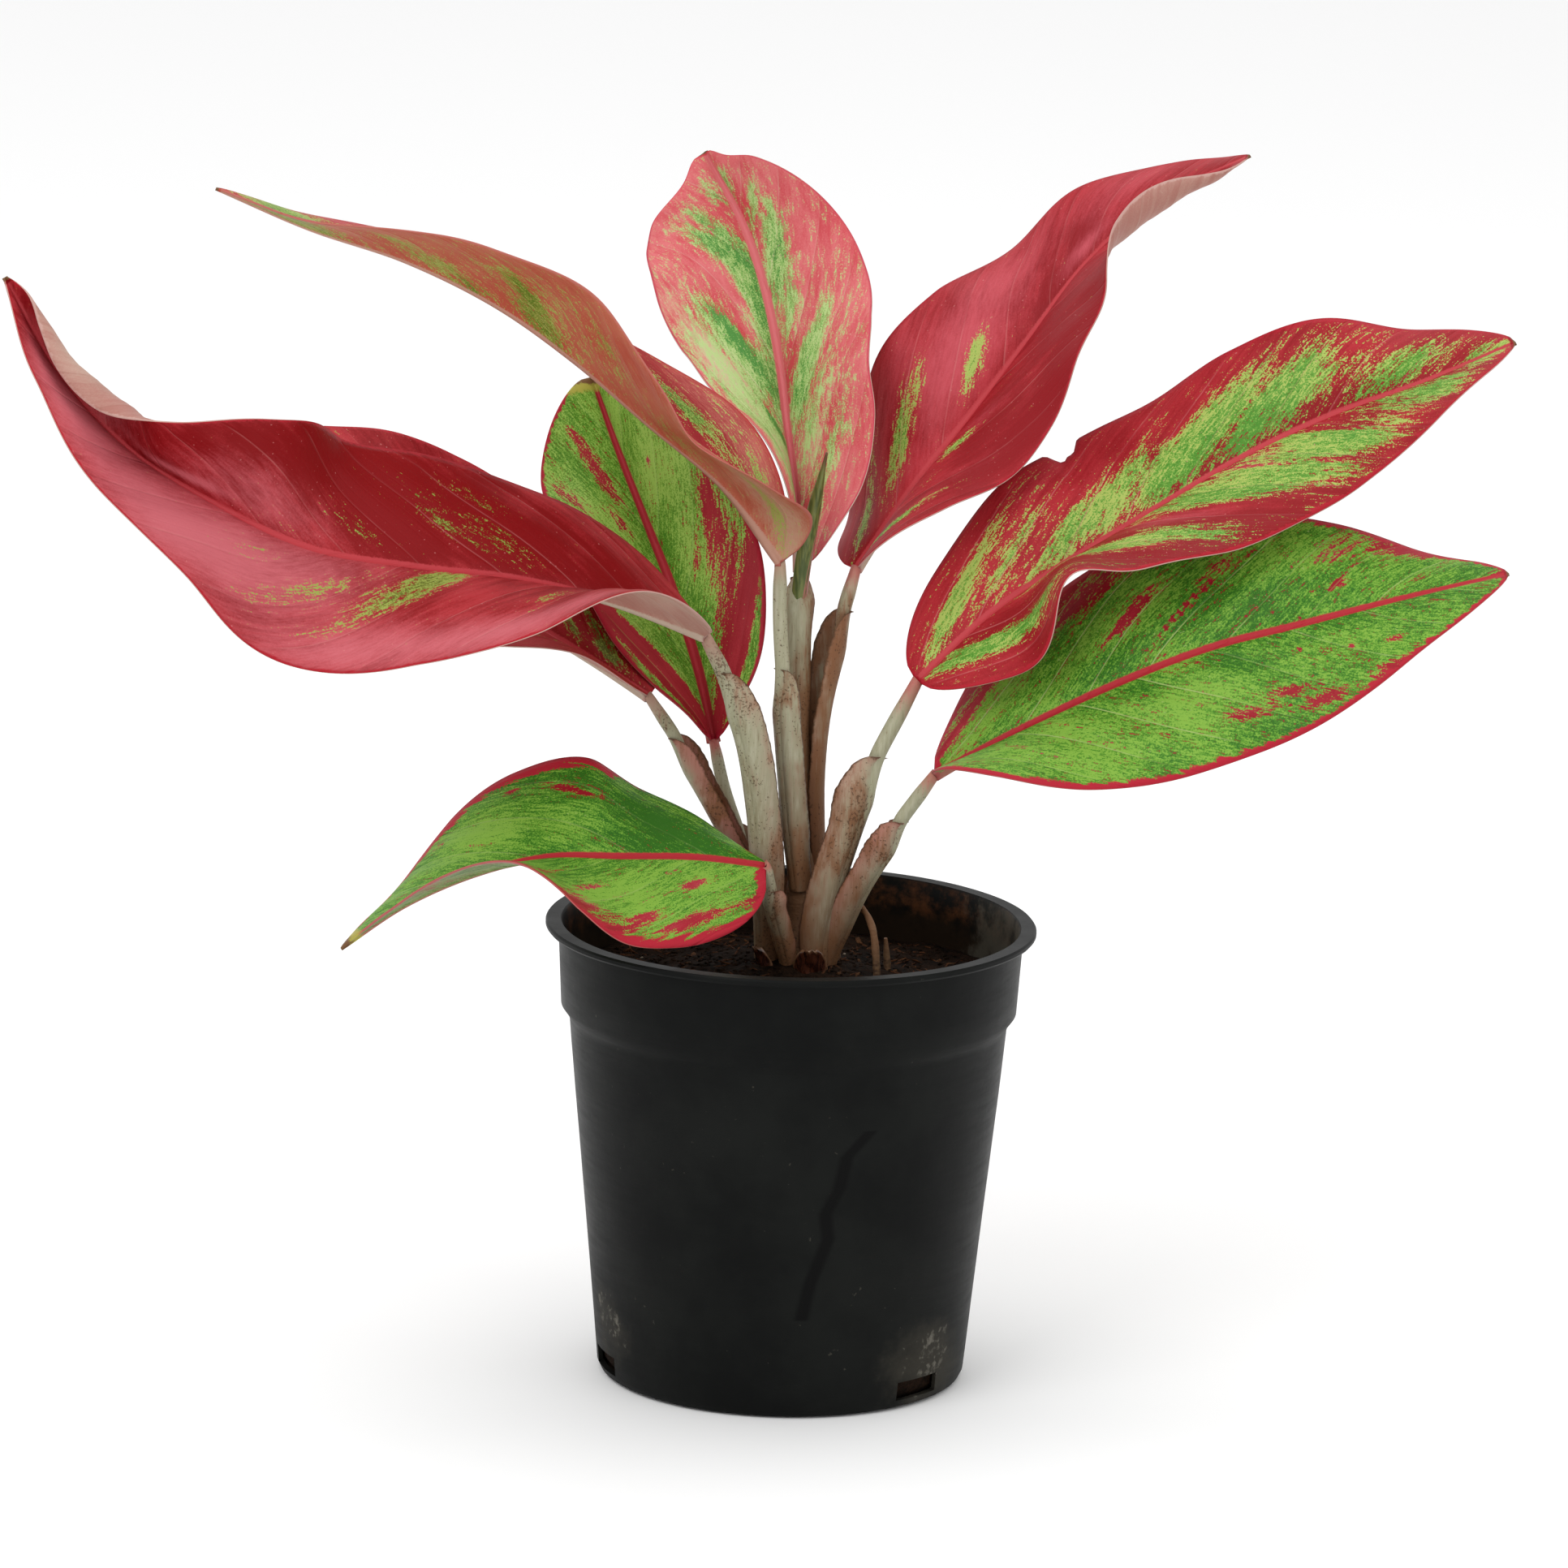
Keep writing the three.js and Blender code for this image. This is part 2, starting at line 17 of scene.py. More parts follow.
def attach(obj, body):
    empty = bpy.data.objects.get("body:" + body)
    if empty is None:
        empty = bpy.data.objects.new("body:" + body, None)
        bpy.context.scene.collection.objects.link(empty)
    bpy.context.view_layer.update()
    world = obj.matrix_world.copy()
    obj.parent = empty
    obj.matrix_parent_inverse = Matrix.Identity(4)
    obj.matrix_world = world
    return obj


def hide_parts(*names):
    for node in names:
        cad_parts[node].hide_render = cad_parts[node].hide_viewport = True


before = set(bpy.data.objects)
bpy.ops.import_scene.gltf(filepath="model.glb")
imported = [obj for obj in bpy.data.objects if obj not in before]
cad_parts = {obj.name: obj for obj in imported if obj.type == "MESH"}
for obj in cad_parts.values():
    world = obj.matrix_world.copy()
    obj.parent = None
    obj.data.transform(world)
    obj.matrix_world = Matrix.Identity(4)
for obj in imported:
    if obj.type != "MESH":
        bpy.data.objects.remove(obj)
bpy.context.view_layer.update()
scene = bpy.context.scene
MM = 0.001


def add_object(name, data):
    piece = bpy.data.objects.new(name, data)
    scene.collection.objects.link(piece)
    return piece


print("nodes in the frame:", len(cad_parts))

# %% [markdown]
# ## The photograph's camera
# The rim of the pot is a circle, so its ellipse in the photograph gives the height that the camera
# looked from, and the pot's slight lean gives the roll. A long lens far away keeps the leaves in the
# proportions that the photograph shows.

# %% Camera
CAMERA_DISTANCE = 3.0
CAMERA_RISE = math.radians(12.9)
CAMERA_ROLL = math.radians(1.5)
CAMERA_AIM = np.array([-0.0033, 0.0, 0.1845])
CAMERA_LENS = 226.5
SENSOR_WIDTH = 36
FAR_ENOUGH = 50


def place_camera():
    view = np.array([0, math.cos(CAMERA_RISE), -math.sin(CAMERA_RISE)])
    level = np.array([1.0, 0, 0])
    upright = np.array([0, math.sin(CAMERA_RISE), math.cos(CAMERA_RISE)])
    right = level * math.cos(CAMERA_ROLL) + upright * math.sin(CAMERA_ROLL)
    up = upright * math.cos(CAMERA_ROLL) - level * math.sin(CAMERA_ROLL)
    camera = add_object("camera", bpy.data.cameras.new("camera"))
    camera.data.lens = CAMERA_LENS
    camera.data.sensor_width = SENSOR_WIDTH
    camera.data.clip_end = FAR_ENOUGH
    place = np.eye(4)
    place[:3, :3] = np.stack([right, up, -view], 1)
    place[:3, 3] = CAMERA_AIM - view * CAMERA_DISTANCE
    camera.matrix_world = Matrix(place.tolist())
    scene.camera = camera
    return camera


camera = place_camera()
print("camera at", [round(v, 3) for v in camera.matrix_world.translation])

# %% [markdown]
# ## Smooth lines
# Every blade and stalk follows a smooth line through a few points. A Bezier curve needs handles beside
# them. A Catmull-Rom curve passes through its points without any, so a table of points is easy to read
# against the plant. The helpers work on whole arrays at once, because a blade has thousands of points.

# %% Curves
def unit(v):
    return v / np.linalg.norm(v, axis=-1, keepdims=True)


def smoothstep(x, low, high):
    u = np.clip((x - low) / (high - low), 0, 1)
    return u * u * (3 - 2 * u)


def mix(a, b, u):
    return a + (b - a) * u


def curve_through(points, t, free_ends=True):
    """Points, or plain numbers, at the fractions t of a curve through evenly spaced points."""
    points = np.asarray(points, float)
    t = np.asarray(t, float)
    first = 2 * points[0] - points[1] if free_ends else points[0]
    last = 2 * points[-1] - points[-2] if free_ends else points[-1]
    padded = np.concatenate([[first], points, [last]])
    place = np.clip(t, 0, 1) * (len(points) - 1)
    i = np.minimum(place.astype(int), len(points) - 2)
    u = place - i
    if points.ndim > 1:
        u = u[..., None]
    a, b, c, d = (padded[i + k] for k in range(4))
    bend = 2 * a - 5 * b + 4 * c - d
    return 0.5 * (2 * b + (c - a) * u + bend * u ** 2 + (3 * b - a - 3 * c + d) * u ** 3)


def direction_along(points, t):
    t = np.asarray(t, float)
    ahead = curve_through(points, np.minimum(1, t + 0.01))
    behind = curve_through(points, np.maximum(0, t - 0.01))
    return unit(ahead - behind)


def path_length(points):
    line = curve_through(points, np.linspace(0, 1, 100))
    return float(np.linalg.norm(np.diff(line, axis=0), axis=1).sum())


print("length of a curve through three corners of a unit square:",
      round(path_length([[0, 0, 0], [1, 0, 0], [1, 1, 0]]), 3))

# %% [markdown]
# ## Meshes from points
# A mesh is a list of points and of the faces between them. Rods, sheaths, the rolled leaf, husks and
# soil could be modelled by hand, but all of them are a closed skin over rings of points, so one helper
# makes their faces. Any number that the paint needs is kept on the points. A finished piece is told
# which body it rides on and which nodes of the packed model it replaces.

# %% Meshes
def make_object(name, points_mm, faces=(), edges=(), smooth=True):
    mesh = bpy.data.meshes.new(name)
    mesh.from_pydata((np.asarray(points_mm) * MM).tolist(), edges, [list(map(int, f)) for f in faces])
    mesh.update()
    if smooth:
        mesh.shade_smooth()
    return add_object(name, mesh)


def store(piece, **values):
    """Keeps one number for each point of a mesh, which a material can read by its name."""
    for name, numbers in values.items():
        layer = piece.data.attributes.new(name, "FLOAT", "POINT")
        layer.data.foreach_set("value", np.asarray(numbers, np.float32).ravel())


def ring_faces(rings, count, offset=0):
    """Faces of a closed skin over rings of points, with a fan over each end."""
    faces = []
    for r in range(rings - 1):
        for i in range(count):
            a = offset + r * count + i
            b = offset + r * count + (i + 1) % count
            faces.append((a, b, b + count, a + count))
    faces.append([offset + i for i in range(count)][::-1])
    faces.append([offset + (rings - 1) * count + i for i in range(count)])
    return faces


def make_outward(piece):
    """Turns all the faces of a closed mesh to face out."""
    work = bmesh.new()
    work.from_mesh(piece.data)
    bmesh.ops.recalc_face_normals(work, faces=work.faces)
    work.to_mesh(piece.data)
    work.free()


def finish_piece(piece, slot, *nodes):
    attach(piece, "root")
    if nodes:
        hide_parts(*nodes)
    triangles = sum(len(p.vertices) - 2 for p in piece.data.polygons)
    print(f"{piece.name}: {triangles} triangles")


print("faces of a skin over three rings of four points:", len(ring_faces(3, 4)))

# %% [markdown]
# ## Small tools for materials
# A material is a graph of nodes. Paint is a short hand for it: each method adds one node and returns
# the socket that holds its result, so a finish can be written as a few lines that read like a recipe.

# %% Paint
class Paint:
    def __init__(self, name, roughness=0.5, specular=0.5):
        self.material = bpy.data.materials.new(name)
        self.material.use_nodes = True
        self.tree = self.material.node_tree
        self.surface = self.tree.nodes["Principled BSDF"]
        self.surface.inputs["Roughness"].default_value = roughness
        self.surface.inputs["Specular IOR Level"].default_value = specular

    def add(self, kind, *values, **settings):
        node = self.tree.nodes.new("ShaderNode" + kind)
        for key, value in settings.items():
            setattr(node, key, value)
        for socket, value in zip(node.inputs, values):
            self.plug(socket, value)
        return node

    def plug(self, socket, value):
        if isinstance(value, bpy.types.NodeSocket):
            self.tree.links.new(value, socket)
        elif value is not None:
            if isinstance(value, tuple) and len(value) == 3 and socket.type == "RGBA":
                value = (*value, 1)
            socket.default_value = value

    def number(self, operation, a, b=0.0, c=0.0):
        return self.add("Math", a, b, c, operation=operation).outputs[0]

    def attribute(self, name):
        return self.add("Attribute", attribute_name=name).outputs["Fac"]

    def place(self):
        return self.add("TexCoord").outputs["Object"]

    def scaled(self, place, along_z):
        """The same place with another scale upwards: under 1 draws a pattern out, over 1 packs it."""
        return self.add("Mapping", place, None, None, (1, 1, along_z)).outputs[0]

    def vector(self, x, y, z=0.0):
        return self.add("CombineXYZ", x, y, z).outputs[0]

    def noise(self, vector, scale, detail=2.0, roughness=0.5):
        node = self.add("TexNoise")
        self.plug(node.inputs["Vector"], vector)
        node.inputs["Scale"].default_value = scale
        node.inputs["Detail"].default_value = detail
        node.inputs["Roughness"].default_value = roughness
        return node.outputs["Fac"]

    def step(self, value, low, high, start=0.0, end=1.0):
        """start below low, end above high, and a smooth change between them."""
        node = self.add("MapRange", value, low, high, start, end, interpolation_type="SMOOTHSTEP")
        return node.outputs[0]

    def blend(self, amount, under, over):
        node = self.add("Mix", data_type="RGBA")
        self.plug(node.inputs["Factor"], amount)
        self.plug(node.inputs[6], under)
        self.plug(node.inputs[7], over)
        return node.outputs[2]

    def lay(self, under, value, none, full, over, most=1.0):
        """Lays a colour over another: not at all where value is none, and most where it is full."""
        return self.blend(self.step(value, none, full, 0.0, most), under, over)

    def product(self, first, *others):
        for other in others:
            first = self.number("MULTIPLY", first, other)
        return first

    def total(self, *weighted):
        """The sum of numbers and of (socket, weight) pairs."""
        result = 0.0
        for item in weighted:
            if isinstance(item, tuple):
                socket, weight = item
                result = self.number("MULTIPLY_ADD", socket, weight, result)
            else:
                result = self.number("ADD", result, item)
        return result

    def finish(self, colour, roughness=None, height=None, strength=0.3, distance=0.0005):
        self.plug(self.surface.inputs["Base Color"], colour)
        if roughness is not None:
            self.plug(self.surface.inputs["Roughness"], roughness)
        if height is not None:
            bump = self.add("Bump")
            bump.inputs["Strength"].default_value = strength
            bump.inputs["Distance"].default_value = distance
            self.plug(bump.inputs["Height"], height)
            self.plug(self.surface.inputs["Normal"], bump.outputs[0])
        return self.material


print("things that Paint can add:", [key for key in vars(Paint) if key[0] != "_"])

# %% [markdown]
# ## The nine leaves
# Each leaf is a row of this table, the same as in the part's source. midrib: points from the foot of
# the blade to its tip. front: the way that the upper face looks. width_left and width_right: half
# the greatest width, with the powers of the outline at the foot and at the tip. left and right: how
# steeply each half stands up from the leaf's own plane, at nine even stations. arch: how each half
# bends between midrib and margin. ripple: a short fold in one margin. curl: where one half rolls over
# towards the tip, and by how much. stalk, open, radii and sheath: the stalk's middle line, the side on
# which its sheath is open, its two radii, and the part of its length that the sheath takes. FIT is the
# clearance that the packed model leaves between the soil and the pot.

# %% Leaf table
LEAVES = {
    "upper_left": dict(
        midrib=[[-6, 1, 253], [-23, -5, 277], [-46, -10, 297], [-69, -16, 317], [-93, -20, 334],
                [-120, -22, 347], [-149, -22, 356], [-177, -20, 367]],
        front=[0.6, 0.18, 0.78],
        width_left=[37, 0.55, 0.9], width_right=[34, 0.7, 0.9],
        left=[58, 18, 5, 14, 30, 26, 17, 4, 0],
        right=[60, 56, 38, 22, 17, 15, 17, 14, 15],
        arch=[10, 12],
        stalk=[[2.5, -2, 152], [0, -2, 176], [-3, -1, 205], [-5.5, 0, 232]],
        open=[0.8, 0.5, 0.2], radii=[4.2, 2.6], sheath=0.62),
    "centre_back": dict(
        midrib=[[0, 17, 247], [-2, 33, 266], [-5, 50, 284], [-8, 66, 302], [-13, 80, 322],
                [-21, 92, 342], [-33, 100, 362]],
        front=[0, -1, 0.3],
        width_left=[36, 0.9, 0.45], width_right=[37, 0.45, 0.56],
        left=[79, 82, 67, 41, 31, 25, 23, 14, 20],
        right=[55, 44, 40, 45, 38, 27, 22, 36, 56],
        arch=[12, 14],
        stalk=[[4, 5, 156], [1.5, 6.5, 177], [-0.5, 8.5, 198], [-0.8, 9.5, 219], [-0.8, 10.5, 238]],
        open=[0.4, 0.9, 0], radii=[4.3, 2.6], sheath=0.93),
    "upper_right": dict(
        midrib=[[16.7, 14.5, 249], [32, 30.5, 270], [49, 43, 290], [67, 54, 313], [85, 62, 337],
                [107, 65, 357], [134, 60, 372]],
        front=[-0.3, -0.85, 0.45],
        width_left=[36, 0.6, 0.85], width_right=[36, 0.6, 0.85],
        left=[-30, -41, -19, 2, -7, -28, -22, -42, -50],
        right=[60, 38, 28, 30, 41, 47.5, 72, 82, 46],
        curl=("right", 0.61, 0.87, -86),
        arch=[10, 12],
        stalk=[[9.5, 7, 140], [6, 7, 164], [5, 8, 186], [6.8, 9.5, 208], [12, 12, 231]],
        open=[-0.9, -0.4, 0.3], radii=[4.2, 2.6], sheath=0.84),
    "right": dict(
        midrib=[[36, -6, 219], [57, -1, 239], [82, 3, 256], [107, 6, 272], [133, 9, 288],
                [159, 11, 301], [187, 12, 312], [214, 10, 325]],
        front=[-0.25, -0.72, 0.65],
        width_left=[38, 0.55, 0.65], width_right=[40, 0.55, 0.65],
        left=[-8, -11, 4, -5, -10, 0, 10, -12, -20],
        right=[18, 11.5, 29.7, 35.7, 22, 15, 16, 28, 35],
        arch=[10, 12],
        ripple=("right", 0.261, 0.066, 20.2),
        stalk=[[7, -8.5, 131], [8.3, -8.5, 146], [13.3, -8, 165.5], [21, -7, 188]],
        open=[-0.8, 0.5, 0.5], radii=[5.6, 2.9], sheath=0.8),
    "lower_right": dict(
        midrib=[[42, -14, 192], [68, -19, 208], [95, -23, 223], [123, -27, 236], [152, -29, 245],
                [182, -30, 254], [212, -30, 262]],
        front=[-0.2, -0.65, 0.73],
        width_left=[41, 0.55, 0.7], width_right=[38, 0.55, 0.7],
        left=[-14, -2, 1, 7, 7, 13, 4, -18, -25],
        right=[60, 33, 6, -6, -12, -12, -1, 11, 20],
        arch=[10, 10],
        stalk=[[10.5, -5.8, 131], [13.7, -7.4, 142], [20.3, -10, 157.7], [30, -12.5, 174]],
        open=[-0.8, 0.3, 0.6], radii=[4.8, 2.6], sheath=0.78),
    "left": dict(
        midrib=[[-28, -14, 233], [-56, -24, 245], [-85, -32, 253], [-115, -38, 257],
                [-146, -44, 263], [-174, -47, 276], [-201, -48, 293], [-222, -46, 315],
                [-238, -42, 342]],
        front=[0.1, -0.6, 0.8],
        width_left=[40, 0.55, 0.85], width_right=[37, 0.55, 0.83],
        left=[58, 58, 24, 4, -15, 8, 20, 34, 44],
        right=[-10, 0, 5, 15, 21, 66, 103, 120, 63],
        curl=("right", 0.713, 0.817, -110),
        arch=[10, 10],
        stalk=[[-6.8, -4.8, 131], [-7.4, -6.9, 153], [-9.5, -10, 179], [-15, -12.3, 206]],
        open=[0.8, 0.5, 0.3], radii=[5.2, 2.9], sheath=0.88),
    "left_back": dict(
        midrib=[[-45, 4, 210], [-66, 12, 221], [-86, 20, 231], [-107, 27, 243], [-127, 33, 254],
                [-148, 37, 267], [-169, 40, 279]],
        front=[0.15, -0.75, 0.65],
        width_left=[33, 0.55, 0.65], width_right=[33, 0.55, 0.65],
        left=[60, 60, 43, 28, 22, 26, 31, 37, 45],
        right=[-30, -12, -3, 0, 4, 14, 22, 2, -4],
        arch=[10, 10],
        stalk=[[-5.2, 5.5, 131], [-9.6, 5.5, 147], [-18.8, 4.5, 167.7], [-31, 4, 189]],
        open=[0.7, -0.1, 0.7], radii=[4.1, 2.4], sheath=0.84),
    "back_left": dict(
        midrib=[[-25, 14, 194], [-31, 27, 215], [-39, 41, 235], [-48, 55, 254], [-57, 69, 273],
                [-66, 80, 294]],
        front=[0.1, -0.9, 0.4],
        width_left=[33, 0.6, 0.55], width_right=[33, 0.6, 0.55],
        left=[60, 40, 31, 31, 29, 28, 19, 22, 35],
        right=[58, 43, 36, 34, 41, 50, 56, 64, 66],
        arch=[10, 10],
        stalk=[[-1.5, 9.3, 131], [-6, 10.4, 144], [-13.8, 12, 159.5], [-21, 13.5, 178]],
        open=[0.7, -0.4, 0.4], radii=[3.4, 2.3], sheath=0.6),
    "front_low": dict(
        midrib=[[-8, -20, 164], [-30, -25, 167], [-52, -31, 168], [-74, -38, 169],
                [-95, -45, 165], [-116, -50, 156], [-135, -54, 143]],
        front=[0.1, -0.5, 0.85],
        width_left=[35, 0.45, 0.9], width_right=[35, 0.9, 0.9],
        left=[-10, -8, -7, -2, 16, 49, 56, 56, 58],
        right=[-16, -4, 1, 17, 2, -14, -28, -39, -40],
        arch=[8, 10],
        stalk=[[-0.5, -10.5, 130.5], [-2.4, -13.4, 139.5], [-4.8, -16.8, 148.8], [-6.8, -19, 157]],
        open=[0.6, 0.8, 0.2], radii=[3, 2.3], sheath=0.7),
}
FIT = 0.35
print("leaves:", ", ".join(LEAVES))
